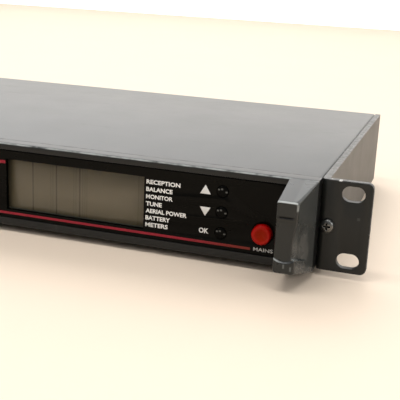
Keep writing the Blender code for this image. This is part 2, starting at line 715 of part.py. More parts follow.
def build_rear_panel():
    """The plate that carries the sockets, standing on the tray's floor."""
    low = (-TRAY_HALF_WIDTH, REAR_INNER_Y, FLOOR_Z + FIT_GAP)
    high = (TRAY_HALF_WIDTH, REAR_FACE_Y, TRAY_TOP_Z)
    panel = box_piece("rear_panel", low, high, "painted_steel")
    holes = bmesh.new()
    near_y = REAR_INNER_Y - OVERCUT
    far_y = REAR_FACE_Y + OVERCUT
    barrel_hole = AERIAL_BARREL_RADIUS + FIT_GAP
    screw_hole = M3_RADIUS + SCREW_CLEARANCE
    round_holes = [(side * AERIAL_X, SOCKET_Z, barrel_hole) for _, side in SIDES]
    round_holes.append((BALANCED_FROM_CENTRE, SOCKET_Z, BALANCED_RADIUS + FIT_GAP))
    round_holes.append((JACK_FROM_CENTRE, SOCKET_Z, JACK_NOSE_RADIUS + FIT_GAP))
    round_holes += [(x, COVER_SCREW_Z, screw_hole) for _, x in cover_screw_x()]
    for x, z, radius in round_holes:
        add_rod(holes, (x, near_y, z), (x, far_y, z), radius, steps=ROUND_STEPS)
    half_width = INLET_HALF_WIDTH + FIT_GAP
    add_box(
        holes,
        (INLET_X - half_width, near_y, INLET_BOTTOM_Z - FIT_GAP),
        (INLET_X + half_width, far_y, INLET_TOP_Z + FIT_GAP),
    )
    cut(panel, holes, "holes")


def build_feet():
    """Four round rubber feet under the tray's corners."""
    profile = [
        (0, 0),
        (0, FOOT_RADIUS),
        (-FOOT_HEIGHT, FOOT_RADIUS - FOOT_DRAFT),
        (-FOOT_HEIGHT, 0),
    ]
    x = HALF_WIDTH - FOOT_SIDE_INSET
    rows = (
        ("front", CHASSIS_FRONT_Y + FOOT_END_INSET),
        ("rear", CHASSIS_DEPTH - FOOT_END_INSET),
    )
    for side_name, side in SIDES:
        for row_name, y in rows:
            place = (side * x, y, -HALF_HEIGHT - FIT_GAP)
            bm = bmesh.new()
            add_turned(bm, profile, place, "Z")
            make_piece(f"foot_{row_name}_{side_name}", bm, "foot_rubber", place)


# ================================================================ front
def build_front_frame():
    """A moulded frame round the window, with a ledge that the window rests against."""
    bm = bmesh.new()
    add_box(
        bm,
        (-HALF_WIDTH, FRAME_FRONT_Y, -HALF_HEIGHT),
        (HALF_WIDTH, FRAME_BACK, HALF_HEIGHT),
    )
    long_front = [
        edge
        for edge in bm.edges
        if all(abs(v.co.y - FRAME_FRONT_Y) < TINY for v in edge.verts)
        and abs(edge.verts[0].co.z - edge.verts[1].co.z) < TINY
    ]
    bevel_edges(bm, long_front, FRAME_EDGE_RADIUS, 3)
    frame = make_piece("front_frame", bm, "frame_plastic", (0, FRAME_FRONT_Y, 0))
    seat = bmesh.new()
    add_box(
        seat,
        (-WINDOW_END_X, FRAME_FRONT_Y - OVERCUT, WINDOW_BOTTOM_Z),
        (WINDOW_END_X, RABBET_Y, WINDOW_TOP_Z),
    )
    cut(frame, seat, "window_seat")
    through = bmesh.new()
    add_box(
        through,
        (-OPENING_END_X, FRAME_FRONT_Y - OVERCUT, OPENING_BOTTOM_Z),
        (OPENING_END_X, FRAME_BACK + OVERCUT, OPENING_TOP_Z),
    )
    for _, x, z in handle_bolt_places():
        start = (x, FRAME_FRONT_Y - OVERCUT, z)
        add_rod(through, start, (x, FRAME_BACK + OVERCUT, z), M4_RADIUS + SCREW_CLEARANCE)
    cut(frame, through, "through")


def build_front_window():
    """The dark printed sheet in the frame, with its button holes."""
    half_x = WINDOW_END_X - FIT_GAP
    window = box_piece(
        "front_window",
        (-half_x, WINDOW_FRONT_Y, WINDOW_BOTTOM_Z + FIT_GAP),
        (half_x, WINDOW_BACK_Y, WINDOW_TOP_Z - FIT_GAP),
        "window_acrylic",
    )
    holes = bmesh.new()
    round_holes = [(BUTTON_X, z, BUTTON_RADIUS + BUTTON_PLAY) for _, z in BUTTONS]
    round_holes.append((POWER_X, POWER_Z, POWER_RADIUS + POWER_PLAY))
    for x, z, radius in round_holes:
        start = (x, WINDOW_FRONT_Y - OVERCUT, z)
        add_rod(holes, start, (x, WINDOW_BACK_Y + OVERCUT, z), radius, steps=ROUND_STEPS)
    cut(window, holes, "holes")


def build_display():
    """The display module behind the window: metal bezel, glass, backlight and boards."""
    bezel = box_piece(
        "lcd_bezel",
        (LCD_X - LCD_HALF_WIDTH, LCD_FRONT_Y, LCD_Z - LCD_HALF_HEIGHT),
        (LCD_X + LCD_HALF_WIDTH, LCD_BOARD_Y - FIT_GAP, LCD_Z + LCD_HALF_HEIGHT),
        "display_metal",
    )
    inner_x = LCD_HALF_WIDTH - LCD_WALL
    inner_z = LCD_HALF_HEIGHT - LCD_WALL
    pocket = bmesh.new()
    add_box(
        pocket,
        (LCD_X - inner_x, LCD_FRONT_Y + LCD_LIP, LCD_Z - inner_z),
        (LCD_X + inner_x, LCD_BOARD_Y + OVERCUT, LCD_Z + inner_z),
    )
    cut(bezel, pocket, "pocket")
    view_z = LCD_HALF_HEIGHT - LCD_BORDER
    view = bmesh.new()
    add_box(
        view,
        (LCD_X - LCD_VIEW_WIDTH / 2, LCD_FRONT_Y - OVERCUT, LCD_Z - view_z),
        (LCD_X + LCD_VIEW_WIDTH / 2, LCD_GLASS_Y, LCD_Z + view_z),
    )
    cut(bezel, view, "view")
    layer_x = inner_x - FIT_GAP
    layer_z = inner_z - FIT_GAP
    layers = (
        ("lcd_glass", LCD_GLASS_Y, LCD_GLASS, layer_x, layer_z, "display_glass"),
        ("lcd_backlight", LCD_LIGHT_Y, LCD_BACKLIGHT, layer_x, layer_z, "backlight_white"),
        ("lcd_board", LCD_BOARD_Y, BOARD_SHEET, LCD_HALF_WIDTH, LCD_HALF_HEIGHT, "circuit_board"),
    )
    for name, front_y, thickness, half_x, half_z, finish in layers:
        box_piece(
            name,
            (LCD_X - half_x, front_y, LCD_Z - half_z),
            (LCD_X + half_x, front_y + thickness, LCD_Z + half_z),
            finish,
        )
    board_right = POWER_X - POWER_RADIUS - POWER_PLAY - DISPLAY_BOARD_MARGIN
    box_piece(
        "display_board",
        (LCD_X - LCD_HALF_WIDTH, DISPLAY_BOARD_Y, LCD_Z - LCD_HALF_HEIGHT),
        (board_right, DISPLAY_BOARD_Y + BOARD_SHEET, LCD_Z + LCD_HALF_HEIGHT),
        "circuit_board",
    )


def build_buttons():
    """Three sprung caps that push small switches on the display board."""
    cap_front = WINDOW_FRONT_Y - BUTTON_PROUD
    flange_front = WINDOW_BACK_Y + FIT_GAP
    stem_end = SWITCH_FRONT_Y - BUTTON_TRAVEL - TRAVEL_SPARE
    flange_radius = BUTTON_RADIUS + BUTTON_PLAY + BUTTON_FLANGE_WIDTH
    for label, z in BUTTONS:
        place = (BUTTON_X, cap_front, z)
        profile = [
            (0, 0),
            (DOME_INNER_DROP * BUTTON_DOME, DOME_INNER_RADIUS * BUTTON_RADIUS),
            (DOME_OUTER_DROP * BUTTON_DOME, DOME_OUTER_RADIUS * BUTTON_RADIUS),
            (BUTTON_DOME, BUTTON_RADIUS),
            (flange_front - cap_front, BUTTON_RADIUS),
            (flange_front - cap_front, flange_radius),
            (flange_front + BUTTON_FLANGE - cap_front, flange_radius),
            (flange_front + BUTTON_FLANGE - cap_front, BUTTON_STEM_RADIUS),
            (stem_end - cap_front, BUTTON_STEM_RADIUS),
            (stem_end - cap_front, 0),
        ]
        bm = bmesh.new()
        add_turned(bm, profile, place, steps=SMALL_STEPS)
        make_piece(f"button_{label}", bm, "button_plastic", place)
        box_piece(
            f"button_switch_{label}",
            (BUTTON_X - SWITCH_SIDE / 2, SWITCH_FRONT_Y, z - SWITCH_SIDE / 2),
            (BUTTON_X + SWITCH_SIDE / 2, DISPLAY_BOARD_Y - FIT_GAP, z + SWITCH_SIDE / 2),
            "switch_plastic",
        )


def build_power_button():
    """The round power cap on its push rod, and the mains switch that the rod pushes."""
    place = (POWER_X, POWER_FRONT_Y, POWER_Z)
    length = POWER_BACK_Y - POWER_FRONT_Y
    slope = POWER_RIM_RADIUS * (1 - math.cos(math.pi / 4))
    profile = [
        (0, 0),
        (0, POWER_RADIUS - POWER_RIM_RADIUS),
        (slope, POWER_RADIUS - slope),
        (POWER_RIM_RADIUS, POWER_RADIUS),
        (length, POWER_RADIUS),
        (length, 0),
    ]
    bm = bmesh.new()
    add_turned(bm, profile, place)
    cap = make_piece("power_button", bm, "power_red", place)
    socket = bmesh.new()
    start = (POWER_X, ROD_FRONT_Y - FIT_GAP, POWER_Z)
    end = (POWER_X, POWER_BACK_Y + OVERCUT, POWER_Z)
    add_rod(socket, start, end, ROD_RADIUS + FIT_GAP)
    cut(cap, socket, "socket")
    rod = bmesh.new()
    start = (POWER_X, ROD_FRONT_Y, POWER_Z)
    add_rod(rod, start, (POWER_X, ROD_BACK_Y, POWER_Z), ROD_RADIUS)
    make_piece("power_rod", rod, "rod_plastic", start)
    switch_y = ROD_BACK_Y + POWER_TRAVEL + TRAVEL_SPARE
    box_piece(
        "power_switch",
        (POWER_X - MAINS_SWITCH_WIDTH / 2, switch_y, ON_BOARD_Z),
        (POWER_X + MAINS_SWITCH_WIDTH / 2, switch_y + MAINS_SWITCH_LENGTH, POWER_Z + MAINS_SWITCH_OVER_ROD),
        "switch_plastic",
    )


def build_handle(side_name, side):
    """A wedge that stands off the frame's end, with a waist and a finger scoop."""
    inner_x = side * HANDLE_INNER_X
    outer_x = side * HALF_WIDTH
    top_z = HALF_HEIGHT - HANDLE_TOP_DROP
    bottom_z = HANDLE_BOTTOM_DROP - HALF_HEIGHT
    base = [(inner_x, HALF_HEIGHT), (outer_x, HALF_HEIGHT), (outer_x, -HALF_HEIGHT), (inner_x, -HALF_HEIGHT)]
    front_x = outer_x - side * HANDLE_TAPER
    front = [(inner_x, top_z), (front_x, top_z), (front_x, bottom_z), (inner_x, bottom_z)]
    bm = bmesh.new()
    base_verts = [bm.verts.new((x, HANDLE_BASE_Y, z)) for x, z in base]
    front_verts = [bm.verts.new((x, HANDLE_FRONT_Y, z)) for x, z in front]
    bm.faces.new(base_verts)
    bm.faces.new(front_verts)
    for index in range(4):
        after = (index + 1) % 4
        bm.faces.new((base_verts[index], base_verts[after], front_verts[after], front_verts[index]))
    bmesh.ops.recalc_face_normals(bm, faces=bm.faces)
    rounded = [edge for edge in bm.edges if any(v in front_verts for v in edge.verts)]
    bevel_edges(bm, rounded, HANDLE_EDGE_RADIUS, 2)
    middle_x = side * HANDLE_BOLT_X
    handle = make_piece(f"handle_{side_name}", bm, "handle_plastic", (middle_x, HANDLE_BASE_Y, 0))

    waist_top = top_z - WAIST_TOP_MARGIN
    waist_bottom = bottom_z + WAIST_BOTTOM_MARGIN
    start_x = inner_x - side * OVERCUT
    waist = bmesh.new()
    outline = [
        (start_x, HANDLE_FRONT_Y - OVERCUT, waist_top + OVERCUT),
        (start_x, HANDLE_FRONT_Y + WAIST_DEPTH, waist_top - WAIST_DEPTH),
        (start_x, HANDLE_FRONT_Y + WAIST_DEPTH, waist_bottom + WAIST_DEPTH),
        (start_x, HANDLE_FRONT_Y - OVERCUT, waist_bottom - OVERCUT),
    ]
    add_prism(waist, outline, (side * (HANDLE_WIDTH + 2 * OVERCUT), 0, 0))
    cut(handle, waist, "waist")

    scoop = bmesh.new()
    scoop_y = HANDLE_FRONT_Y + SCOOP_LENGTH / 2
    share = (scoop_y - HANDLE_FRONT_Y) / HANDLE_REACH
    skin_x = HALF_WIDTH - HANDLE_TAPER * (1 - share)
    centre = Vector((side * (skin_x + SCOOP_BULGE - SCOOP_DEPTH), scoop_y, (waist_top + waist_bottom) / 2))
    radii = (SCOOP_BULGE, SCOOP_LENGTH / 2, (waist_top - waist_bottom) / 2, 1.0)
    place = Matrix.Translation(centre) @ Matrix.Diagonal(radii)
    bmesh.ops.create_uvsphere(scoop, u_segments=SMALL_STEPS, v_segments=SCOOP_RINGS, radius=1.0, matrix=place)
    cut(handle, scoop, "scoop")

    bores = bmesh.new()
    for bolt_side, x, z in handle_bolt_places():
        if bolt_side == side:
            start = (x, HANDLE_BASE_Y - HANDLE_BOLT_GRIP - FIT_GAP, z)
            add_rod(bores, start, (x, HANDLE_BASE_Y + OVERCUT, z), M4_RADIUS + SCREW_CLEARANCE)
    cut(handle, bores, "bolt_bores")


def build_handles():
    for side_name, side in SIDES:
        build_handle(side_name, side)
    seat_y = TRAY_INNER_Y + FIT_GAP
    length = seat_y - HANDLE_BASE_Y + HANDLE_BOLT_GRIP
    mesh = make_screw_mesh(
        "handle_bolt", CAP_HEAD_RADIUS, CAP_HEAD_HEIGHT, M4_RADIUS, length, "screw_zinc"
    )
    for side, x, z in handle_bolt_places():
        side_name = "left" if side < 0 else "right"
        level = "upper" if z > 0 else "lower"
        place_screw(f"handle_bolt_{side_name}_{level}", mesh, (x, seat_y, z), DRIVEN_FORWARD)


# ================================================================ rack brackets
def bracket_outline(side):
    """The bracket seen from above: a flange along the body, bent out into an ear."""
    points = []
    steps = 2 * CORNER_STEPS
    middle = (BRACKET_INNER_X + BEND_RADIUS, BEND_RADIUS)
    for step in range(steps + 1):
        angle = math.radians(180 + 90 * step / steps)
        points.append((middle[0] + BEND_RADIUS * math.cos(angle), middle[1] + BEND_RADIUS * math.sin(angle)))
    points += [
        (EAR_END_X, 0.0),
        (EAR_END_X, BRACKET_SHEET),
        (BRACKET_OUTER_X, BRACKET_SHEET),
        (BRACKET_OUTER_X, CHASSIS_DEPTH),
        (BRACKET_INNER_X, CHASSIS_DEPTH),
    ]
    return [(side * x, y, -HALF_HEIGHT) for x, y in points]


def add_slot(bm, side, z):
    """A slot with round ends through the ear."""
    outline = rounded_rectangle(SLOT_LENGTH, SLOT_HEIGHT, SLOT_HEIGHT / 2 - TINY, (side * SLOT_X, z), 6)
    points = [(u, -OVERCUT, v) for u, v in outline]
    add_prism(bm, points, (0, BRACKET_SHEET + 2 * OVERCUT, 0))


def add_ear_corner(bm, side, level):
    """What is cut off an ear's outer corner to round it."""
    steps = CORNER_STEPS
    middle_x = EAR_END_X - EAR_CORNER_RADIUS
    middle_z = HALF_HEIGHT - EAR_CORNER_RADIUS
    points = []
    for step in range(steps + 1):
        angle = math.radians(90 * step / steps)
        x = middle_x + EAR_CORNER_RADIUS * math.cos(angle)
        z = middle_z + EAR_CORNER_RADIUS * math.sin(angle)
        points.append((side * x, -OVERCUT, level * z))
    far_x = side * (EAR_END_X + OVERCUT)
    far_z = level * (HALF_HEIGHT + OVERCUT)
    points += [
        (side * middle_x, -OVERCUT, far_z),
        (far_x, -OVERCUT, far_z),
        (far_x, -OVERCUT, level * middle_z),
    ]
    add_prism(bm, points, (0, BRACKET_SHEET + 2 * OVERCUT, 0))


def build_bracket(side_name, side):
    bm = bmesh.new()
    add_prism(bm, bracket_outline(side), (0, 0, BODY_HEIGHT))
    origin = (side * BRACKET_INNER_X, 0, 0)
    bracket = make_piece(f"rack_bracket_{side_name}", bm, "bracket_paint", origin)
    openings = bmesh.new()
    for level in (1, -1):
        add_slot(openings, side, level * SLOT_Z)
        add_ear_corner(openings, side, level)
    start = (side * EAR_SCREW_X, -OVERCUT, 0)
    add_rod(openings, start, (side * EAR_SCREW_X, EAR_SCREW_LENGTH + FIT_GAP, 0), M3_RADIUS + SCREW_CLEARANCE)
    cut(bracket, openings, "openings")
    screw_holes = bmesh.new()
    radius = M3_RADIUS + SCREW_CLEARANCE
    ends = (side * (BRACKET_INNER_X - OVERCUT), side * (BRACKET_OUTER_X + OVERCUT))
    for _, y, z in side_screw_places(side):
        add_rod(screw_holes, (min(ends), y, z), (max(ends), y, z), radius, "X")
    cut(bracket, screw_holes, "screw_holes")


def build_brackets():
    for side_name, side in SIDES:
        build_bracket(side_name, side)
    ear_mesh = make_screw_mesh(
        "ear_screw", PAN_HEAD_RADIUS, PAN_HEAD_HEIGHT, M3_RADIUS, EAR_SCREW_LENGTH, "screw_black"
    )
    side_mesh = make_screw_mesh(
        "side_screw", PAN_HEAD_RADIUS, PAN_HEAD_HEIGHT, M3_RADIUS, SIDE_SCREW_LENGTH, "screw_black"
    )
    for side_name, side in SIDES:
        place_screw(f"ear_screw_{side_name}", ear_mesh, (side * EAR_SCREW_X, -FIT_GAP, 0), DRIVEN_BACK)
        for level, y, z in side_screw_places(side):
            place = (side * (BRACKET_OUTER_X + FIT_GAP), y, z)
            place_screw(f"bracket_screw_{side_name}_{level}", side_mesh, place, driven_inward(side))


def build_cover_screws():
    mesh = make_screw_mesh(
        "cover_screw",
        COVER_SCREW_HEAD_RADIUS,
        COVER_SCREW_HEAD_HEIGHT,
        M3_RADIUS,
        COVER_SCREW_LENGTH,
        "screw_black",
    )
    for label, x in cover_screw_x():
        place = (x, CHASSIS_DEPTH + FIT_GAP, COVER_SCREW_Z)
        place_screw(f"cover_screw_{label}", mesh, place, DRIVEN_FORWARD)


# ================================================================ inside
def build_boards():
    """The receiver board on the left and the power supply board on the right."""
    box_piece(
        "main_board",
        (MAIN_LEFT_X, MAIN_FRONT_Y, BOARD_BOTTOM_Z),
        (MAIN_RIGHT_X, BOARD_BACK_Y, BOARD_TOP_Z),
        "circuit_board",
    )
    box_piece(
        "supply_board",
        (SUPPLY_LEFT_X, SUPPLY_BOARD_START, BOARD_BOTTOM_Z),
        (SUPPLY_RIGHT_X, BOARD_BACK_Y, BOARD_TOP_Z),
        "circuit_board",
    )


def build_tuners():
    """Two tinplate cans over the two receiving circuits."""
    middle_x = (MAIN_LEFT_X + MAIN_RIGHT_X) / 2
    middle_y = (MAIN_FRONT_Y + BOARD_BACK_Y) / 2
    for label, side in (("a", -1), ("b", 1)):
        x = middle_x + side * TUNER_SPACING / 2
        low = Vector((x - TUNER_WIDTH / 2, middle_y - TUNER_LENGTH / 2, ON_BOARD_Z))
        high = low + Vector((TUNER_WIDTH, TUNER_LENGTH, TUNER_HEIGHT))
        can = box_piece(f"tuner_can_{label}", low, high, "tinplate")
        wall = Vector((TUNER_WALL, TUNER_WALL, 0))
        hollow = bmesh.new()
        add_box(hollow, low + wall - Vector((0, 0, OVERCUT)), high - wall - Vector((0, 0, TUNER_WALL)))
        cut(can, hollow, "hollow")


def build_transformer():
    """A laminated core with its winding standing proud in front and behind."""
    middle_x = (SUPPLY_LEFT_X + SUPPLY_RIGHT_X) / 2
    middle_y = (SUPPLY_BOARD_START + BOARD_BACK_Y) / 2
    half_x = TRANSFORMER_WIDTH / 2
    core = box_piece(
        "mains_transformer",
        (middle_x - half_x, middle_y - TRANSFORMER_CORE / 2, ON_BOARD_Z),
        (middle_x + half_x, middle_y + TRANSFORMER_CORE / 2, ON_BOARD_Z + TRANSFORMER_HEIGHT),
        "transformer_wrap",
    )
    quarter = TRANSFORMER_WIDTH / 4
    bm = bmesh.new()
    outline = rounded_rectangle(
        TRANSFORMER_WIDTH / 2 + quarter / 2, TRANSFORMER_LENGTH, quarter / 2, (middle_x, middle_y)
    )
    low_z = ON_BOARD_Z + TRANSFORMER_HEIGHT / 5
    add_prism(bm, [(u, v, low_z) for u, v in outline], (0, 0, TRANSFORMER_HEIGHT * 3 / 5))
    join(core, bm, "winding")


def build_capacitor():
    """The supply's smoothing capacitor, at the supply board's front left corner."""
    x = SUPPLY_LEFT_X + DISPLAY_BOARD_MARGIN + CAPACITOR_RADIUS
    y = SUPPLY_BOARD_START + CAPACITOR_START + CAPACITOR_RADIUS
    bm = bmesh.new()
    add_rod(bm, (x, y, ON_BOARD_Z), (x, y, ON_BOARD_Z + CAPACITOR_HEIGHT), CAPACITOR_RADIUS, "Z")
    make_piece("supply_capacitor", bm, "capacitor_sleeve", (x, y, ON_BOARD_Z))


def build_heat_sink():
    """A finned bar for the regulator, behind the capacitor."""
    left_x = SUPPLY_LEFT_X + DISPLAY_BOARD_MARGIN
    front_y = SUPPLY_BOARD_START + CAPACITOR_START + 2 * CAPACITOR_RADIUS + HEAT_SINK_SPACE
    low = Vector((left_x, front_y, ON_BOARD_Z))
    high = low + Vector((HEAT_SINK_DEPTH, HEAT_SINK_LENGTH, HEAT_SINK_HEIGHT))
    sink = box_piece("heat_sink", low, high, "heat_sink_metal")
    pitch = (HEAT_SINK_LENGTH - FIN_THICKNESS) / (HEAT_SINK_FINS - 1)
    gaps = bmesh.new()
    for index in range(HEAT_SINK_FINS - 1):
        start_y = low.y + FIN_THICKNESS + index * pitch
        add_box(
            gaps,
            (low.x + HEAT_SINK_BASE, start_y, low.z - OVERCUT),
            (high.x + OVERCUT, start_y + pitch - FIN_THICKNESS, high.z + OVERCUT),
        )
    cut(sink, gaps, "fin_gaps")


# ================================================================ rear sockets
def build_nut(name, x, bore_radius):
    """A hexagonal nut on the rear panel, round a barrel that runs along Y."""
    corner = (bore_radius + NUT_WALL) / math.cos(math.pi / NUT_FLATS)
    outline = []
    for step in range(NUT_FLATS):
        angle = 2 * math.pi * step / NUT_FLATS
        outline.append((x + corner * math.cos(angle), SOCKET_FACE_Y, SOCKET_Z + corner * math.sin(angle)))
    bm = bmesh.new()
    add_prism(bm, outline, (0, NUT_THICKNESS, 0))
    nut = make_piece(name, bm, "nickel_plate", (x, SOCKET_FACE_Y, SOCKET_Z))
    bore = bmesh.new()
    start = (x, SOCKET_FACE_Y - OVERCUT, SOCKET_Z)
    end = (x, SOCKET_FACE_Y + NUT_THICKNESS + OVERCUT, SOCKET_Z)
    add_rod(bore, start, end, bore_radius, steps=ROUND_STEPS)
    cut(nut, bore, "bore")


def build_aerial_socket(label, x):
    """A bayonet socket for an aerial: barrel, lugs, inner post and a collar inside."""
    collar_y = REAR_INNER_Y - FIT_GAP
    back = collar_y - AERIAL_BODY_LENGTH
    bore_end = AERIAL_TIP_Y - AERIAL_BORE_DEPTH
    post_tip = AERIAL_TIP_Y - AERIAL_POST_SHORTFALL
    stations = [
        (back, 0),
        (back, AERIAL_COLLAR_RADIUS),
        (collar_y, AERIAL_COLLAR_RADIUS),
        (collar_y, AERIAL_BARREL_RADIUS),
        (AERIAL_TIP_Y, AERIAL_BARREL_RADIUS),
        (AERIAL_TIP_Y, AERIAL_BORE_RADIUS),
        (bore_end, AERIAL_BORE_RADIUS),
        (bore_end, AERIAL_POST_RADIUS),
        (post_tip, AERIAL_POST_RADIUS),
        (post_tip, 0),
    ]
    place = (x, REAR_FACE_Y, SOCKET_Z)
    bm = bmesh.new()
    add_turned(bm, [(y - REAR_FACE_Y, radius) for y, radius in stations], place)
    socket = make_piece(f"aerial_socket_{label}", bm, "nickel_plate", place)
    lugs = bmesh.new()
    lug_y = AERIAL_TIP_Y - AERIAL_LUG_FROM_TIP
    seat = AERIAL_BARREL_RADIUS - AERIAL_BARREL_WALL / 2
    reach = AERIAL_BARREL_RADIUS + AERIAL_LUG_REACH
    for low, high in ((seat, reach), (-reach, -seat)):
        start = (x, lug_y, SOCKET_Z + low)
        add_rod(lugs, start, (x, lug_y, SOCKET_Z + high), AERIAL_LUG_RADIUS, "Z", PIN_STEPS)
    join(socket, lugs, "lugs")
    build_nut(f"aerial_nut_{label}", x, AERIAL_BARREL_RADIUS + FIT_GAP)


def build_balanced_socket():
    """A three-pin balanced output: a metal shell, and an insert with its pins."""
    x = BALANCED_FROM_CENTRE
    flange_back = SOCKET_FACE_Y + BALANCED_FLANGE
    shell = box_piece(
        "balanced_shell",
        (x - BALANCED_HALF_WIDTH, SOCKET_FACE_Y, SOCKET_Z - BALANCED_HALF_HEIGHT),
        (x + BALANCED_HALF_WIDTH, flange_back, SOCKET_Z + BALANCED_HALF_HEIGHT),
        "nickel_plate",
    )
    start = (x, BALANCED_FRONT_Y, SOCKET_Z)
    barrel = bmesh.new()
    end = (x, SOCKET_FACE_Y + BALANCED_FLANGE / 2, SOCKET_Z)
    add_rod(barrel, start, end, BALANCED_RADIUS, steps=ROUND_STEPS)
    join(shell, barrel, "barrel")
    bore = bmesh.new()
    near = (x, BALANCED_FRONT_Y - OVERCUT, SOCKET_Z)
    add_rod(bore, near, (x, flange_back + OVERCUT, SOCKET_Z), BALANCED_BORE_RADIUS, steps=ROUND_STEPS)
    cut(shell, bore, "bore")
    disc = bmesh.new()
    disc_back = BALANCED_FRONT_Y + BALANCED_INSERT
    disc_radius = BALANCED_BORE_RADIUS - FIT_GAP
    add_rod(disc, start, (x, disc_back, SOCKET_Z), disc_radius, steps=ROUND_STEPS)
    insert = make_piece("balanced_insert", disc, "socket_black", start)
    pins = bmesh.new()
    pin_circle = BALANCED_BORE_RADIUS - BALANCED_PIN_INSET
    for index in range(3):
        angle = math.radians(90 + 120 * index)
        pin_x = x + pin_circle * math.cos(angle)
        pin_z = SOCKET_Z + pin_circle * math.sin(angle)
        near = (pin_x, disc_back - BALANCED_INSERT / 2, pin_z)
        end = (pin_x, disc_back + BALANCED_PIN_LENGTH, pin_z)
        add_rod(pins, near, end, BALANCED_PIN_RADIUS, steps=PIN_STEPS)
    join(insert, pins, "pins")


def build_line_jack():
    """The unbalanced output: a 6.3 mm jack socket and its nut."""
    x = JACK_FROM_CENTRE
    half = JACK_BODY_SIDE / 2
    body_back = REAR_INNER_Y - FIT_GAP
    jack = box_piece(
        "line_jack",
        (x - half, JACK_FRONT_Y, SOCKET_Z - half),
        (x + half, body_back, SOCKET_Z + half),
        "socket_black",
    )
    tip = REAR_FACE_Y + JACK_NOSE_REACH
    nose = bmesh.new()
    start = (x, body_back - OVERCUT, SOCKET_Z)
    add_rod(nose, start, (x, tip, SOCKET_Z), JACK_NOSE_RADIUS, steps=ROUND_STEPS)
    join(jack, nose, "nose")
    bore = bmesh.new()
    start = (x, JACK_FRONT_Y + JACK_END_WALL, SOCKET_Z)
    add_rod(bore, start, (x, tip + OVERCUT, SOCKET_Z), JACK_BORE_RADIUS)
    cut(jack, bore, "bore")
    build_nut("line_jack_nut", x, JACK_NOSE_RADIUS + FIT_GAP)


def build_mains_inlet():
    """The mains inlet with its three blades, and the drawer's hole below it."""
    inlet = box_piece(
        "mains_inlet",
        (INLET_X - INLET_HALF_WIDTH, INLET_FRONT_Y, INLET_BOTTOM_Z),
        (INLET_X + INLET_HALF_WIDTH, INLET_BACK_Y, INLET_TOP_Z),
        "socket_black",
    )
    flange = bmesh.new()
    add_box(
        flange,
        (INLET_X - INLET_FLANGE_HALF_WIDTH, SOCKET_FACE_Y, INLET_BOTTOM_Z - INLET_FLANGE_MARGIN),
        (INLET_X + INLET_FLANGE_HALF_WIDTH, INLET_BACK_Y, INLET_TOP_Z + INLET_FLANGE_MARGIN),
    )
    join(inlet, flange, "flange")
    hollows = bmesh.new()
    outline = rounded_rectangle(
        INLET_RECESS_WIDTH, INLET_RECESS_HEIGHT, INLET_RECESS_CORNER, (INLET_X, INLET_RECESS_Z), 1
    )
    recess_y = INLET_BACK_Y - INLET_RECESS_DEPTH
    add_prism(hollows, [(u, recess_y, v) for u, v in outline], (0, INLET_RECESS_DEPTH + OVERCUT, 0))
    half_drawer = DRAWER_WIDTH / 2 + DRAWER_CLEARANCE
    half_height = DRAWER_HEIGHT / 2 + DRAWER_CLEARANCE
    add_box(
        hollows,
        (INLET_X - half_drawer, INLET_BACK_Y - DRAWER_DEPTH - DRAWER_CLEARANCE, DRAWER_Z - half_height),
        (INLET_X + half_drawer, INLET_BACK_Y + OVERCUT, DRAWER_Z + half_height),
    )
    cut(inlet, hollows, "hollows")
    blades = bmesh.new()
    for column, offset in ((-1, -BLADE_OFFSET), (0, BLADE_OFFSET), (1, -BLADE_OFFSET)):
        x = INLET_X + column * BLADE_SPACING
        z = INLET_RECESS_Z + offset
        add_box(
            blades,
            (x - BLADE_WIDTH / 2, recess_y - BLADE_WIDTH, z - BLADE_HEIGHT / 2),
            (x + BLADE_WIDTH / 2, INLET_BACK_Y - BLADE_SHORTFALL, z + BLADE_HEIGHT / 2),
        )
    join(inlet, blades, "blades")


def build_fuse_drawer():
    """The drawer that pulls out of the inlet, and the fuse that lies across it."""
    half_w = DRAWER_WIDTH / 2
    half_h = DRAWER_HEIGHT / 2
    drawer = box_piece(
        "fuse_drawer",
        (INLET_X - half_w, INLET_BACK_Y - DRAWER_DEPTH, DRAWER_Z - half_h),
        (INLET_X + half_w, INLET_BACK_Y + DRAWER_FACE, DRAWER_Z + half_h),
        "socket_black",
    )
    room = FUSE_RADIUS + FIT_GAP
    half_pocket = FUSE_LENGTH / 2 + FIT_GAP
    fuse_y = INLET_BACK_Y - DRAWER_DEPTH / 2
    pocket = bmesh.new()
    add_box(
        pocket,
        (INLET_X - half_pocket, fuse_y - room, DRAWER_Z - room),
        (INLET_X + half_pocket, fuse_y + room, DRAWER_Z + half_h + OVERCUT),
    )
    cut(drawer, pocket, "fuse_pocket")
    start = (INLET_X - FUSE_LENGTH / 2, fuse_y, DRAWER_Z)
    fuse = bmesh.new()
    add_rod(fuse, start, (INLET_X + FUSE_LENGTH / 2, fuse_y, DRAWER_Z), FUSE_RADIUS, "X", FUSE_STEPS)
    make_piece("fuse", fuse, "fuse_glass", start)


# ================================================================ assembly
clear_scene()
MATERIALS = {name: make_material(name) for name in FINISHES}
unit_frame = bpy.data.objects.new("unit_frame", None)
unit_frame.location = (0, UNIT_SHIFT_Y, UNIT_SHIFT_Z)
bpy.context.scene.collection.objects.link(unit_frame)

build_top_cover()
build_bottom_tray()
build_rear_panel()
build_feet()
build_front_frame()
build_front_window()
build_display()
build_buttons()
build_power_button()
build_handles()
build_brackets()
build_cover_screws()
build_boards()
build_tuners()
build_transformer()
build_capacitor()
build_heat_sink()
build_aerial_socket("a", -AERIAL_X)
build_aerial_socket("b", AERIAL_X)
build_balanced_socket()
build_line_jack()
build_mains_inlet()
build_fuse_drawer()
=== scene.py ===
# %% [markdown]
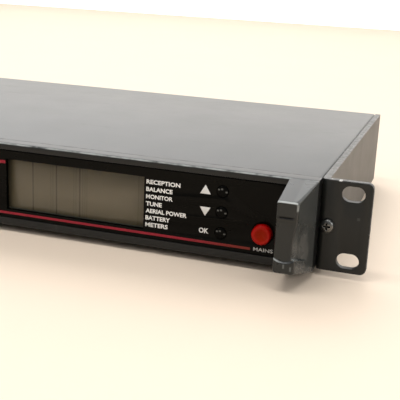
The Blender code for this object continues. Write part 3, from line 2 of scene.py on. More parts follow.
# # A rack-width wireless receiver
# The receiver's working solids are already fixed: their sizes, places and joints
# come from the imported model, which this script loads and never changes. The script
# gives each piece that shows a fine surface, and each piece a finish. It starts
# with the frame, because every place below is read from it. The finished look may
# not be larger than the solids.

# %% Load the fixed frame
import math

import bmesh
import bpy
import numpy as np
from mathutils import Matrix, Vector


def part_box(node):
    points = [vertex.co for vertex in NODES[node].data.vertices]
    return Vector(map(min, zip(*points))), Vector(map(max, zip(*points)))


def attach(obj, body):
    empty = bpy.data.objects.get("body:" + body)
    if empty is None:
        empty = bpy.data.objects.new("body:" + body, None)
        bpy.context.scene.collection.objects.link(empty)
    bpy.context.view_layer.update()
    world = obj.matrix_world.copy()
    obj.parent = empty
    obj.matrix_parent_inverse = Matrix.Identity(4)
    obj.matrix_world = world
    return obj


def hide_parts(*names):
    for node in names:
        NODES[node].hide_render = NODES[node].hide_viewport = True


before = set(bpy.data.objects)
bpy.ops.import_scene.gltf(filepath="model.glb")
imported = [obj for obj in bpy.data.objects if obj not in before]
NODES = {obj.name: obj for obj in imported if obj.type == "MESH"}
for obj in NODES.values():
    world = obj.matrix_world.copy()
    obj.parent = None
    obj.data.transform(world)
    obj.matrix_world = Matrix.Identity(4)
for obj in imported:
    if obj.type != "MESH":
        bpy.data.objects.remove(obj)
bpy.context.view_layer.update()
MM = 0.001


def span(node):
    """A solid's lowest and highest corner as two arrays of metres."""
    low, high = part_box(node)
    return np.array(low), np.array(high)


def centre_of(node):
    """The middle of a solid's box."""
    low, high = span(node)
    return (low + high) / 2


# %% [markdown]
# ## The camera
# The unit is looked at from in front of its right end, a little above its top. A
# camera turn is easiest to read as three angles, as on a tripod: the pan round the
# upright axis, the tilt down from the level, and the roll about the lens. Each is
# one rotation matrix, and their product places the camera.

# %% Place the camera
PAN = 0.309
TILT = 0.277
ROLL = 0.047
CAMERA_PLACE = (0.2784, -0.4558, 0.1392)
LENS_MM = 76.1
SENSOR_MM = 36.0

camera = bpy.data.objects.new("camera", bpy.data.cameras.new("camera"))
camera.data.lens = LENS_MM
camera.data.sensor_width = SENSOR_MM
camera.data.clip_start = 0.01
camera.matrix_world = (
    Matrix.Translation(CAMERA_PLACE)
    @ Matrix.Rotation(PAN, 4, "Z")
    @ Matrix.Rotation(math.pi / 2 - TILT, 4, "X")
    @ Matrix.Rotation(ROLL, 4, "Z")
)
bpy.context.scene.collection.objects.link(camera)
bpy.context.scene.camera = camera
print(f"camera at {[round(v, 3) for v in CAMERA_PLACE]} m, lens {LENS_MM} mm")

# %% [markdown]
# ## Surfaces as arrays of points
# A smooth surface is a rule that turns two numbers into a point. Worked out for
# whole arrays at once, the rule gives a grid of points, and the grid's quads are
# the same for every shape. So one helper makes the quads, and the pieces differ
# only in their rules. A shape here is a pair: its points, and a list of face arrays.

# %% Grids and joined shapes
AXES = {"X": (1, 2, 0), "Y": (0, 2, 1), "Z": (0, 1, 2)}


def grid(points, round_rows=False, round_columns=False):
    """A (rows, columns, 3) array as a shape.

    Quad (r, c) joins points (r, c), (r, c+1), (r+1, c+1) and (r+1, c). A round
    grid joins its last row or column to its first.
    """
    rows, columns = points.shape[:2]
    r = np.arange(rows if round_rows else rows - 1)[:, None]
    c = np.arange(columns if round_columns else columns - 1)[None, :]
    below = (r + 1) % rows
    beside = (c + 1) % columns
    corners = (r * columns + c, r * columns + beside, below * columns + beside, below * columns + c)
    quads = np.stack(np.broadcast_arrays(*corners), axis=-1).reshape(-1, 4)
    return points.reshape(-1, 3), [quads]


def joined(*shapes):
    """Several shapes as one: later faces count on from the points before them."""
    points, faces, start = [], [], 0
    for own_points, own_faces in shapes:
        points.append(own_points)
        faces += [part + start for part in own_faces]
        start += len(own_points)
    return np.concatenate(points), faces


def placed(flat, level, along):
    """Points of two coordinates, given their third along an axis."""
    points = np.empty((*flat.shape[:-1], 3))
    u, v, w = AXES[along]
    points[..., u] = flat[..., 0]
    points[..., v] = flat[..., 1]
    points[..., w] = level
    return points


# %% [markdown]
# ## Outlines, and what is carried along them
# Moulded plastic and painted sheet have no knife edges: every corner is eased, and
# the thin highlight that runs along it is most of what makes a piece look real. So
# corners are eased in the outline itself, and the ends of a carried shape get a
# small round edge too. A Bevel modifier could do it, but a rule keeps the points
# few and in known places.

# %% Eased outlines
def unit(a):
    """(cos a, sin a) for an array of angles."""
    return np.stack([np.cos(a), np.sin(a)], -1)


def eased(corners, radius, steps=4, closed=True):
    """An outline whose corners give way to short curves.

    A corner P becomes (1-t)^2 A + 2 t (1-t) P + t^2 B, where A and B lie a radius
    before and after it. One radius, or one for each corner.
    """
    corners = np.asarray(corners, float)
    radius = np.broadcast_to(radius, len(corners)).astype(float)[:, None]
    before = np.roll(corners, 1, axis=0) - corners
    after = np.roll(corners, -1, axis=0) - corners
    if not closed:
        before[0] = after[-1] = 0
        radius = radius.copy()
        radius[[0, -1]] = 0
    reach_before = np.linalg.norm(before, axis=1, keepdims=True)
    reach_after = np.linalg.norm(after, axis=1, keepdims=True)
    start = corners + before * np.minimum(radius / np.maximum(reach_before, 1e-9), 0.49)
    end = corners + after * np.minimum(radius / np.maximum(reach_after, 1e-9), 0.49)
    t = np.linspace(0, 1, steps + 1)[None, :, None]
    curve = (1 - t) ** 2 * start[:, None] + 2 * t * (1 - t) * corners[:, None] + t**2 * end[:, None]
    return curve.reshape(-1, corners.shape[1])


def rounded_rectangle(low, high, radius, steps=6):
    """A rectangle with round corners: each corner's centre plus radius (cos a, sin a)."""
    low, high = np.asarray(low, float), np.asarray(high, float)
    a = np.radians(90 * np.arange(4)[:, None] + np.linspace(0, 90, steps + 1))
    signs = np.array([(1, 1), (-1, 1), (-1, -1), (1, -1)])[:, None]
    centres = (low + high) / 2 + signs * ((high - low) / 2 - radius)
    return (centres + radius * unit(a)).reshape(-1, 2)


def face_outline(low, high, radius, inwards=0.0):
    """A box's rectangle in X and Z, moved inwards, with round corners."""
    return rounded_rectangle(low[[0, 2]] + inwards, high[[0, 2]] - inwards, radius)


def circle(centre, radius, steps=64):
    """Points round a circle: centre plus radius (cos a, sin a)."""
    return np.asarray(centre) + radius * unit(np.linspace(0, 2 * np.pi, steps, endpoint=False))


def hole_at(node, radius, steps=64):
    """A circle in X and Z round the middle of a solid."""
    return circle(centre_of(node)[[0, 2]], radius, steps)


def inset(outline, distance):
    """An outline moved inwards, each point against the normal of its neighbours' chord."""
    chord = np.roll(outline, -1, axis=0) - np.roll(outline, 1, axis=0)
    normal = np.stack([chord[:, 1], -chord[:, 0]], -1)
    normal /= np.maximum(np.linalg.norm(normal, axis=1, keepdims=True), 1e-12)
    return outline - distance * normal


def carried(outline, start, end, along="Y", edge=0.0002, steps=2, folded=False):
    """An anticlockwise outline carried along an axis, with round edges at both ends.

    At the depth edge (1 - cos a) from an end, the outline is set in by
    edge (1 - sin a), for a from 0 to 90 degrees. One face closes each end, but a
    folded sheet's ends are closed by quads from its outer skin to its inner one:
    point i of the first half pairs with point n - 1 - i of the second.
    """
    a = np.linspace(0, np.pi / 2, steps + 1)
    depth, pull = edge * (1 - np.cos(a)), edge * (1 - np.sin(a))
    levels = np.concatenate([start + depth, end - depth[::-1]])
    rings = [inset(outline, p) for p in np.concatenate([pull, pull[::-1]])]
    points = np.stack([placed(ring, level, along) for ring, level in zip(rings, levels)])
    shape = grid(points, round_columns=True)
    count = len(outline)
    last = len(shape[0]) - count
    lid = np.arange(count)[None, :]
    if folded:
        i = np.arange(count // 2 - 1)
        lid = np.stack([i, i + 1, count - 2 - i, count - 1 - i], -1)
    return shape[0], shape[1] + [lid[:, ::-1], lid + last]


def block(low, high, corner=0.0004, edge=0.0002):
    """A box between two corners, with round corners across Y and round ends."""
    low, high = np.asarray(low, float), np.asarray(high, float)
    return carried(face_outline(low, high, corner), low[1], high[1], edge=edge)


def turned(profile, centre, along="Y", steps=64):
    """A profile of (place, radius) turned round an axis through a centre.

    Point (i, a) is centre + place_i w + radius_i (cos a u + sin a v).
    """
    profile = np.asarray(profile, float)
    ring = unit(np.linspace(0, 2 * np.pi, steps, endpoint=False))
    flat = profile[:, 1][:, None, None] * ring
    points = placed(flat, profile[:, 0][:, None], along)
    return grid(points + np.asarray(centre), round_columns=True)


# %% [markdown]
# ## Flat sheets with holes, and lettering
# A sheet with holes isn't a grid, and neither is a letter. Both are flat outlines
# to be filled, which is what Blender's two-dimensional curves do: they fill between
# the outlines, give the sheet its thickness and round its rims. The result is read
# back as arrays, so that it is placed in the same way as everything else.

# %% Filled curves
def shape_of(mesh):
    """A mesh's points, and its faces gathered by their number of corners."""
    points = np.empty(len(mesh.vertices) * 3)
    mesh.vertices.foreach_get("co", points)
    corners = np.empty(len(mesh.loops), int)
    mesh.loops.foreach_get("vertex_index", corners)
    start = np.empty(len(mesh.polygons), int)
    total = np.empty(len(mesh.polygons), int)
    mesh.polygons.foreach_get("loop_start", start)
    mesh.polygons.foreach_get("loop_total", total)
    faces = [corners[start[total == n][:, None] + np.arange(n)] for n in np.unique(total)]
    return points.reshape(-1, 3), faces


def filled(curve, thickness, edge):
    """A flat curve filled and thickened to a shape whose middle is at height 0."""
    curve.dimensions = "2D"
    curve.fill_mode = "BOTH"
    curve.extrude = thickness / 2 - edge
    curve.bevel_depth = edge
    curve.bevel_resolution = 1
    holder = bpy.data.objects.new(curve.name, curve)
    mesh = bpy.data.meshes.new_from_object(holder)
    shape = shape_of(mesh)
    bpy.data.objects.remove(holder)
    bpy.data.meshes.remove(mesh)
    return shape


def plate(outlines, start, end, edge=0.0001):
    """A flat sheet between two depths: the first outline is its rim, and the rest are holes."""
    curve = bpy.data.curves.new("plate", "CURVE")
    curve.offset = -edge
    for index, outline in enumerate(outlines):
        outline = outline[::-1] if index else outline
        spline = curve.splines.new("POLY")
        spline.points.add(len(outline) - 1)
        rows = np.zeros((len(outline), 4))
        rows[:, :2] = outline
        spline.points.foreach_set("co", rows.ravel())
        spline.use_cyclic_u = True
    points, faces = filled(curve, end - start, edge)
    return placed(points[:, :2], points[:, 2] + (start + end) / 2, "Y"), faces


def lettering(words, left, middle, height, level, thickness, weight):
    """Words on the front, left-aligned at X = left, their middle at Z = middle, facing -Y."""
    curve = bpy.data.curves.new("words", "FONT")
    curve.body = words
    curve.offset = weight
    curve.resolution_u = 3
    points, faces = filled(curve, 0.02, 0.0)
    capital = np.ptp(points[:, 1])
    scale = height / capital
    x = left + (points[:, 0] - points[:, 0].min()) * scale
    z = middle + (points[:, 1] - points[:, 1].min() - capital / 2) * scale
    y = level - thickness * (points[:, 2] > 0)
    return np.stack([x, y, z], -1), faces


# %% [markdown]
# ## From a shape to a piece
# Doubled points at seams and poles are merged, so that each skin is closed, and
# then its faces are turned outwards. Edges sharper than 35 degrees stay crisp, and
# all else is shaded smooth. A piece rides on the body that carries it and hides the
# plain solid that it stands for.

# %% Make a piece
SHARP = math.radians(35)
MERGE = 1e-6


def bare_object(name, shape):
    """A shape as an object, with doubled points merged and faces turned outwards."""
    points, faces = shape
    mesh = bpy.data.meshes.new(name)
    mesh.from_pydata(points.tolist(), [], [row for part in faces for row in part.tolist()])
    skin = bmesh.new()
    skin.from_mesh(mesh)
    bmesh.ops.remove_doubles(skin, verts=skin.verts, dist=MERGE)
    bmesh.ops.recalc_face_normals(skin, faces=skin.faces)
    skin.to_mesh(mesh)
    skin.free()
    made = bpy.data.objects.new(name, mesh)
    bpy.context.scene.collection.objects.link(made)
    return made


def make_piece(name, shapes, finish, slot, *stands_for, body="chassis"):
    """A named object from shapes, riding on a body, in place of the solids it stands for."""
    piece = bare_object(name, joined(*shapes))
    mesh = piece.data
    mesh.shade_smooth()
    mesh.set_sharp_from_angle(angle=SHARP)
    mesh.materials.append(finish)
    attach(piece, body)
    if stands_for:
        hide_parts(*stands_for)
    print(f"{name}: {len(mesh.polygons)} faces")


def dress(finish, *names):
    """Gives solids that show as they are a finish."""
    for name in names:
        for place in NODES[name].material_slots:
            place.material = finish
    print(f"{finish.name}: {', '.join(names)}")


# %% [markdown]
# ## Writing a finish
# A finish is sums: how worn, how dusty, how bright, point by point. Blender does
# these sums with Math nodes, which are tedious to place and to link. So one small
# class stands for a socket and turns +, -, * and / into Math nodes, and another
# holds the material and adds any other node.

# %% Sums on sockets
class Value:
    """A shader socket. Sums written with it become Math nodes."""

    def __init__(self, finish, socket):
        self.finish = finish
        self.socket = socket

    def math(self, operation, first, second=0.0):
        return self.finish.node("ShaderNodeMath", {"operation": operation}, {0: first, 1: second})

    def __add__(self, other):
        return self.math("ADD", self, other)

    __radd__ = __add__

    def __mul__(self, other):
        return self.math("MULTIPLY", self, other)

    __rmul__ = __mul__

    def __sub__(self, other):
        return self.math("SUBTRACT", self, other)

    def __rsub__(self, other):
        return self.math("SUBTRACT", other, self)

    def __truediv__(self, other):
        return self.math("DIVIDE", self, other)

    def __abs__(self):
        return self.math("ABSOLUTE", self)

    def least(self, other):
        return self.math("MINIMUM", self, other)

    def most(self, other):
        return self.math("MAXIMUM", self, other)

    def rise(self, start, end):
        """0 up to start, 1 from end on, and a smooth step between."""
        settings = {"interpolation_type": "SMOOTHSTEP"}
        return self.finish.node("ShaderNodeMapRange", settings, {0: self, 1: start, 2: end})

    def near(self, place, reach):
        """1 at a place, fading to 0 at the reach on either side."""
        return 1 - abs(self - place).rise(0.5 * reach, reach)


class Finish:
    """A material being made: its nodes, and short ways to add them."""

    def __init__(self, name):
        self.material = bpy.data.materials.new(name)
        self.material.use_nodes = True
        self.tree = self.material.node_tree
        self.shader = self.tree.nodes["Principled BSDF"]
        self.place = self.node("ShaderNodeTexCoord", output="Object")

    def along(self, axis):
        """One coordinate of a point on the object, in metres."""
        return self.node("ShaderNodeSeparateXYZ", inputs={0: self.place}, output=axis)

    x = property(lambda self: self.along("X"))
    y = property(lambda self: self.along("Y"))
    z = property(lambda self: self.along("Z"))

    def node(self, kind, settings=None, inputs=None, output=0):
        """Any node: its settings first, then the values or links of its sockets."""
        made = self.tree.nodes.new(kind)
        for key, value in (settings or {}).items():
            setattr(made, key, value)
        for key, value in (inputs or {}).items():
            self.feed(made.inputs[key], value)
        return Value(self, made.outputs[output])

    def feed(self, socket, value):
        """Links a socket to a Value, or sets it to a number, a colour or a vector."""
        if isinstance(value, Value):
            self.tree.links.new(value.socket, socket)
        elif isinstance(value, tuple) and len(value) == 3 and socket.type == "RGBA":
            socket.default_value = (*value, 1.0)
        else:
            socket.default_value = value

    def noise(self, scale, detail=2.0, roughness=0.5, stretch=None):
        """Soft noise from 0 to 1. The scale is cells for each metre."""
        place = self.place
        if stretch:
            place = self.node("ShaderNodeMapping", inputs={"Vector": place, "Scale": stretch})
        inputs = {"Vector": place, "Scale": scale, "Detail": detail, "Roughness": roughness}
        return self.node("ShaderNodeTexNoise", inputs=inputs)

    def cells(self, scale):
        """Distance to the nearest point of a random scatter, in cells."""
        return self.node("ShaderNodeTexVoronoi", inputs={"Vector": self.place, "Scale": scale})

    def blend(self, amount, first, second):
        """One colour giving way to another."""
        return self.node(
            "ShaderNodeMix", {"data_type": "RGBA"}, {0: amount, 6: first, 7: second}, output=2
        )

    def bump(self, height, distance, strength=1.0):
        """A normal from a height between 0 and 1, whose full step is a distance in metres."""
        inputs = {"Height": height, "Distance": distance, "Strength": strength}
        return self.node("ShaderNodeBump", inputs=inputs)

    def edge_distance(self, low, high):
        """How far a point on a box's faces is from the box's nearest edge.

        Take each axis's distance inside the box. On a face the least of the three
        is 0, so the middle one, the sum less the least and the most, is the answer.
        """
        inside = []
        for axis, a, b in zip((self.x, self.y, self.z), low, high):
            inside.append((b - a) / 2 - abs(axis - (a + b) / 2))
        least = inside[0].least(inside[1]).least(inside[2])
        most = inside[0].most(inside[1]).most(inside[2])
        return inside[0] + inside[1] + inside[2] - least - most

    def done(self, **sockets):
        """Sets the shader's sockets, with _ for a space in their names, and gives the material."""
        for name, value in sockets.items():
            self.feed(self.shader.inputs[name.replace("_", " ")], value)
        return self.material


# %% [markdown]
# ## Black powder coat
# The case is steel under a satin black coat. Baked powder has a fine orange peel, so
# its reflections are soft and slightly grainy. Hands leave smudges that change the
# gloss more than the colour, and dust and rubbing lighten the folded edges, where
# the paler colour is also a painted highlight.

# %% Case paint
def case_paint():
    finish = Finish("case_paint")
    low, high = span("top_cover")
    peel = finish.noise(2600, 3, 0.6)
    smudge = finish.noise(28, 4, 0.6)
    rubbed = finish.noise(90, 5, 0.7, (0.3, 1.0, 1.0)).rise(0.6, 0.78)
    edge = finish.edge_distance(low, high)
    # The pale, patchy folded edges are wear, and also a painted highlight along them.
    worn = (1 - edge.rise(0.0002, 0.0011)) * finish.noise(170, 4, 0.7).rise(0.4, 0.62)
    specks = 1 - finish.cells(420).rise(0.05, 0.09)
    shade = finish.blend(smudge, (0.03, 0.031, 0.03), (0.042, 0.043, 0.041))
    shade = finish.blend(0.35 * rubbed, shade, (0.075, 0.076, 0.073))
    shade = finish.blend(0.5 * worn, shade, (0.17, 0.17, 0.165))
    shade = finish.blend(0.3 * specks, shade, (0.2, 0.2, 0.19))
    rough = 0.34 + 0.1 * smudge + 0.08 * rubbed
    return finish.done(
        Base_Color=shade, Roughness=rough, Normal=finish.bump(peel, 0.00002, 0.5), IOR=1.5
    )


CASE_PAINT = case_paint()
print("case paint:", len(CASE_PAINT.node_tree.nodes), "nodes")

# %% [markdown]
# ## Bracket paint
# The ears are thick steel, painted like the case but handled more: racks and screws
# chip the paint along the rim, down to pale primer, and one faint pale spot marks
# the ear's face.

# %% Bracket paint
CHIP_X = 226.2 * MM
CHIP_BACK = 0.9 * MM
SPOT_X = 235.8 * MM
SPOT_Z = 29.6 * MM


def bracket_paint():
    finish = Finish("bracket_paint")
    low, high = span("rack_bracket_right")
    side = abs(finish.x)
    peel = finish.noise(3200, 3, 0.65)
    haze = finish.noise(60, 4, 0.6)
    top = 1 - (high[2] - finish.z).rise(0.0001, 0.0006)
    rim = top.most(1 - (high[0] - side).rise(0.0001, 0.0005))
    rubbed = rim * finish.noise(420, 4, 0.7).rise(0.38, 0.6)
    chip = side.near(CHIP_X, 0.0009) * finish.y.near(low[1] + CHIP_BACK, 0.0016) * top
    spot = side.near(SPOT_X, 0.0009) * finish.z.near(SPOT_Z, 0.0009)
    chipped = chip * finish.noise(900, 2).rise(0.3, 0.45)
    chipped = chipped.most(rim * finish.noise(800, 3).rise(0.68, 0.72))
    shade = finish.blend(haze, (0.0088, 0.0092, 0.0078), (0.0135, 0.014, 0.012))
    shade = finish.blend(0.4 * rubbed, shade, (0.12, 0.12, 0.115))
    shade = finish.blend((chipped + 0.035 * spot).least(1.0), shade, (0.62, 0.61, 0.58))
    rough = 0.36 + 0.12 * haze - 0.06 * rubbed
    return finish.done(
        Base_Color=shade, Roughness=rough, Normal=finish.bump(peel, 0.000025, 0.55), Specular_IOR_Level=0.32
    )


BRACKET_PAINT = bracket_paint()
print("bracket paint:", len(BRACKET_PAINT.node_tree.nodes), "nodes")

# %% [markdown]
# ## Dark moulded plastic
# The frame and the handles are moulded, with a finer, rounder grain than paint and
# a cooler grey. Their colour also carries painted light: painted highlights along
# the frame's upper front edge and the handles' edges, and painted shade in the
# crease across each handle's nose. Each belongs to a place on the piece, so each is
# a mask: how near a point is to the edge's depth and height.

# %% Frame and handle plastic
HIGHLIGHT_GREY = (0.5, 0.52, 0.5)
WAIST_TOP = 9.9 * MM
WAIST_BOTTOM = -9.2 * MM
TAPER = 4.0 * MM
TOP_DROP = 4.7 * MM
LEDGE_FALL = 0.3
HALF_NOSE = 4.2 * MM
WAIST_BOW = 1.2 * MM
handle_low, handle_high = span("handle_right")
nose_middle = (handle_low[0] + handle_high[0] - TAPER) / 2
MIDDLE_Z = centre_of("front_frame")[2]


def highlight_line(finish, depth, height, reach):
    """1 along an edge that runs across the front at a depth and a height, 0 a reach away."""
    away = abs(finish.y - depth) + abs(finish.z - height)
    return 1 - away.rise(0.5 * reach, reach)


def frame_highlight(finish, shade):
    """A painted highlight along the frame's upper front edge, patchy along its length."""
    low, high = span("front_frame")
    patchy = finish.noise(110, 3, 0.6).rise(0.28, 0.6)
    # Painted highlight: a pale line along the rounded upper front edge.
    edge = highlight_line(finish, low[1] + 0.4 * MM, high[2] - 0.4 * MM, 0.8 * MM)
    return finish.blend(0.6 * edge * patchy, shade, HIGHLIGHT_GREY)


def handle_light_and_shade(finish, shade):
    """Painted light on the handle: painted highlights along its edges, its root and two places under its
    waist, painted shade in its crease, and a paler outer side.
    """
    side = abs(finish.x)
    level = finish.z - MIDDLE_Z
    behind = finish.y - handle_low[1]
    on_nose = 1 - behind.rise(1.3 * MM, 2.2 * MM)
    nose_top = handle_high[2] - TOP_DROP
    outer = handle_high[0] - TAPER
    # Painted shade: the crease across the nose is darkened almost to black.
    crease_shade = level.near(WAIST_TOP, 0.9 * MM) * side.near(nose_middle, 4.6 * MM) * on_nose
    shade = finish.blend(0.92 * crease_shade, shade, (0.001, 0.001, 0.001))
    # Painted highlights: the nose's top edge, its upper outer corner, the curved border under the waist and
    # the ledge of the side recess are drawn pale.
    top_edge_highlight = 0.8 * highlight_line(finish, handle_low[1] + 0.32 * MM, nose_top - 0.1 * MM, 0.9 * MM)
    corner = side.near(outer - 0.1 * MM, 0.5 * MM) * finish.z.near(nose_top - 2.2 * MM, 2.0 * MM)
    off_centre = (side - nose_middle) / HALF_NOSE
    curve = WAIST_BOTTOM - WAIST_BOW * (1 - off_centre * off_centre)
    border_highlight = 1 - abs(level - curve + 0.1 * MM).rise(0.15 * MM, 0.5 * MM)
    border_highlight = border_highlight * (1 - side.rise(handle_low[0] + 0.8 * MM, handle_low[0] + 4.2 * MM))
    ledge_level = WAIST_BOTTOM + 0.85 * MM - LEDGE_FALL * behind
    ledge = 1 - abs(level - ledge_level).rise(0.3 * MM, 0.7 * MM)
    ledge = ledge * side.rise(outer - 2.0 * MM, outer - 0.8 * MM) * (1 - behind.rise(4.0 * MM, 9.0 * MM))
    # All of these are painted highlights, gathered into one mask.
    rubbed = top_edge_highlight.most(0.35 * corner * on_nose).most(0.4 * border_highlight * on_nose).most(0.22 * ledge)
    # Two more painted highlights on the lower front, under the waist.
    for across, height in ((4.9, -12.0), (8.0, -12.9)):
        place = side.near(handle_low[0] + across * MM, 0.5 * MM) * level.near(height * MM, 1.3 * MM)
        rubbed = rubbed.most(0.18 * place * on_nose)
    # A painted highlight along the root's outer edge, where the handle meets the frame.
    root_highlight = 1 - (handle_high[1] - finish.y).rise(0.3 * MM, 1.0 * MM)
    rubbed = rubbed.most(0.16 * root_highlight * side.rise(handle_high[0] - 1.0 * MM, handle_high[0] - 0.3 * MM))
    # Painted light: the outer side is drawn a little paler.
    dusty = behind.rise(1.0 * MM, 3.0 * MM) * side.rise(outer - 3.0 * MM, outer - 1.5 * MM)
    rubbed = rubbed.most(0.055 * dusty)
    return finish.blend(rubbed, shade, HIGHLIGHT_GREY)


def moulded(name, dark, light, gloss, scratch, mirror, painted_light):
    """Grained plastic between two greys: how rough, scratched and mirror-like it is, and its painted light.
    """
    finish = Finish(name)
    grain = finish.noise(5200, 2, 0.5)
    cloud = finish.noise(70, 3, 0.6)
    scratched = finish.noise(260, 4, 0.75, (1.0, 1.0, 0.12)).rise(0.62, 0.7)
    dust = 1 - finish.cells(900).rise(0.04, 0.08)
    shade = finish.blend(cloud, dark, light)
    shade = finish.blend(scratch * scratched, shade, (0.16, 0.165, 0.16))
    shade = painted_light(finish, finish.blend(0.25 * dust, shade, (0.22, 0.22, 0.21)))
    rough = gloss + 0.08 * cloud + 0.1 * scratched * scratch
    return finish.done(
        Base_Color=shade,
        Roughness=rough,
        Normal=finish.bump(grain, 0.000012, 0.5),
        Specular_IOR_Level=mirror,
    )


FRAME_PLASTIC = moulded(
    "frame_plastic", (0.009, 0.0095, 0.009), (0.013, 0.0136, 0.0129), 0.28, 0.06, 0.28, frame_highlight
)
HANDLE_PLASTIC = moulded(
    "handle_plastic", (0.0125, 0.0138, 0.0127), (0.018, 0.0196, 0.0181), 0.24, 0.04, 0.32, handle_light_and_shade
)
print("moulded plastic: frame and handles")

# %% [markdown]
# ## The window sheet
# One acrylic sheet covers the whole front. It is printed black on its back, but for
# a clear rectangle over the display, so only its alpha changes there. A real sheet
# would use transmission, but a thin see-through coat of the same gloss shows the
# display as well and costs no dark refraction.

# %% Window sheet
glass_low, glass_high = span("lcd_glass")
bezel_low, bezel_high = span("lcd_bezel")
VIEW_SIDE_BORDER = 4.5 * MM
VIEW_BORDER = 2.25 * MM
VIEW_FOOT = 1.1 * MM
view_low = bezel_low + (VIEW_SIDE_BORDER, 0, VIEW_FOOT)
view_high = bezel_high - (VIEW_SIDE_BORDER, 0, VIEW_BORDER)


def window_sheet():
    finish = Finish("window_sheet")
    inside_x = (finish.x - view_low[0]).least(view_high[0] - finish.x)
    inside_z = (finish.z - view_low[2]).least(view_high[2] - finish.z)
    clear = inside_x.least(inside_z).rise(-0.00008, 0.00008)
    wipe = finish.noise(45, 4, 0.65, (0.4, 1.0, 1.6))
    dust = 1 - finish.cells(700).rise(0.03, 0.06)
    shade = finish.blend(wipe, (0.0016, 0.0015, 0.001), (0.003, 0.0028, 0.002))
    shade = finish.blend(0.06 * dust, shade, (0.2, 0.2, 0.18))
    alpha = 1 - 0.93 * clear
    rough = 0.1 + 0.14 * wipe
    ripple = finish.noise(14, 2)
    return finish.done(
        Base_Color=shade,
        Roughness=rough,
        Alpha=alpha,
        Normal=finish.bump(ripple, 0.0002, 0.1),
        Specular_IOR_Level=0.07,
    )


WINDOW_SHEET = window_sheet()
print("clear rectangle", [round(v * 1000, 1) for v in view_high - view_low], "mm")

# %% [markdown]
# ## Printing on the window
# Red rules and white words are screen print: opaque ink a few hundredths of a
# millimetre thick. Ink is never quite even, so both vary a little along the line.

# %% Inks
def ink(name, strong, weak, faded, rough):
    """Ink between two tints, and a third that it fades to towards its right end."""
    finish = Finish(name)
    uneven = finish.noise(900, 3, 0.6)
    worn = finish.noise(120, 3, 0.6).rise(0.35, 0.75)
    shade = finish.blend(0.6 * uneven + 0.4 * worn, strong, weak)
    shade = finish.blend(finish.x.rise(0.15, 0.19), shade, faded)
    return finish.done(
        Base_Color=shade,
        Roughness=rough + 0.1 * uneven,
        Normal=finish.bump(uneven, 0.000004, 0.4),
        Specular_IOR_Level=0.3,
    )


WHITE_INK = ink("white_ink", (0.82, 0.81, 0.78), (0.66, 0.65, 0.62), (0.5, 0.5, 0.48), 0.5)
RED_INK = ink("red_ink", (0.3, 0.008, 0.022), (0.21, 0.006, 0.016), (0.17, 0.016, 0.008), 0.45)
print("inks: white and red")

# %% [markdown]
# ## The display glass
# The display is off. What shows is the rear polariser, a dull grey-brown, darker
# towards its left end where the bezel shades it, with a few thin upright lines where
# the fields of the display meet. They are lines in the glass, so they belong to its
# colour and not to its shape.

# %% Display glass
FIELD_LINES = (13.4, 26.6, 39.5)
FAINT_LINES = (23.4, 24.6, 36.2, 37.4, 41.1, 42.3, 43.4, 71.0)


def display_glass():
    finish = Finish("display_glass")
    across = (finish.x - view_low[0]) / MM
    cloud = finish.noise(40, 3, 0.5)
    strips = finish.noise(500, 2, 0.5, (1.0, 1.0, 0.004))
    shade = finish.blend(cloud, (0.116, 0.095, 0.056), (0.142, 0.117, 0.071))
    shade = finish.blend(0.3 * strips, shade, (0.11, 0.096, 0.066))
    lines = None
    for places, half_width, strength in ((FIELD_LINES, 0.22, 0.62), (FAINT_LINES, 0.16, 0.22)):
        for place in places:
            line = strength * across.near(place, half_width * 2)
            lines = line if lines is None else lines.most(line)
    shade = finish.blend(lines, shade, (0.02, 0.016, 0.008))
    left_end = 1 - across.rise(-2.2, 3.6)
    shade = finish.blend(0.8 * left_end, shade, (0.03, 0.028, 0.018))
    above = (finish.z - view_low[2]) / MM
    foot = 1 - above.rise(-1.2, 1.6)
    shade = finish.blend(0.5 * foot, shade, (0.05, 0.048, 0.035))
    return finish.done(
        Base_Color=shade,
        Roughness=0.16 + 0.1 * cloud,
        Normal=finish.bump(strips, 0.000004, 0.3),
        Coat_Weight=0.3 + 0.1 * cloud,
        Coat_Roughness=0.08,
    )


DISPLAY_GLASS = display_glass()
print("display glass:", len(FIELD_LINES), "field lines")

# %% [markdown]
# ## Red power button
# The cap is clear red plastic with a lamp behind it. Its colour carries painted
# light: the dished middle is darker and more orange, a painted shade, a ring near the
# rim is lighter, a painted highlight, and a trace of emission in the middle is a
# painted glow that stands in for light scattered in the plastic.

# %% Power button plastic
power_low, power_high = span("power_button")
power_centre = centre_of("power_button")


def power_red():
    finish = Finish("power_red")
    from_x = (finish.x - power_centre[0]) / MM
    from_z = (finish.z - power_centre[2]) / MM
    radius = finish.node("ShaderNodeMath", {"operation": "SQRT"}, {0: from_x * from_x + from_z * from_z})
    # Painted shade: the dished middle is darker and more orange.
    middle = 1 - radius.rise(1.5, 4.0)
    mottle = finish.noise(700, 2)
    # Painted highlight: a lighter ring near the rim.
    ring = radius.near(3.6, 0.7)
    shade = finish.blend(middle, (0.3, 0.003, 0.002), (0.22, 0.008, 0.0))
    shade = finish.blend(0.5 * ring, shade, (0.4, 0.02, 0.01))
    # Painted glow: a faint red emission, strongest in the middle.
    glow = finish.blend(middle, (0.03, 0.0, 0.0), (0.12, 0.008, 0.0))
    return finish.done(
        Base_Color=shade,
        Roughness=0.22 + 0.12 * mottle,
        Emission_Color=glow,
        Emission_Strength=0.25,
        Normal=finish.bump(mottle, 0.000006, 0.4),
        Coat_Weight=0.02 + 0.03 * mottle,
        Coat_Roughness=0.12,
        Specular_IOR_Level=0.05,
    )


POWER_RED = power_red()
print("power button: radius", round((power_high - power_low)[0] * 500, 2), "mm")

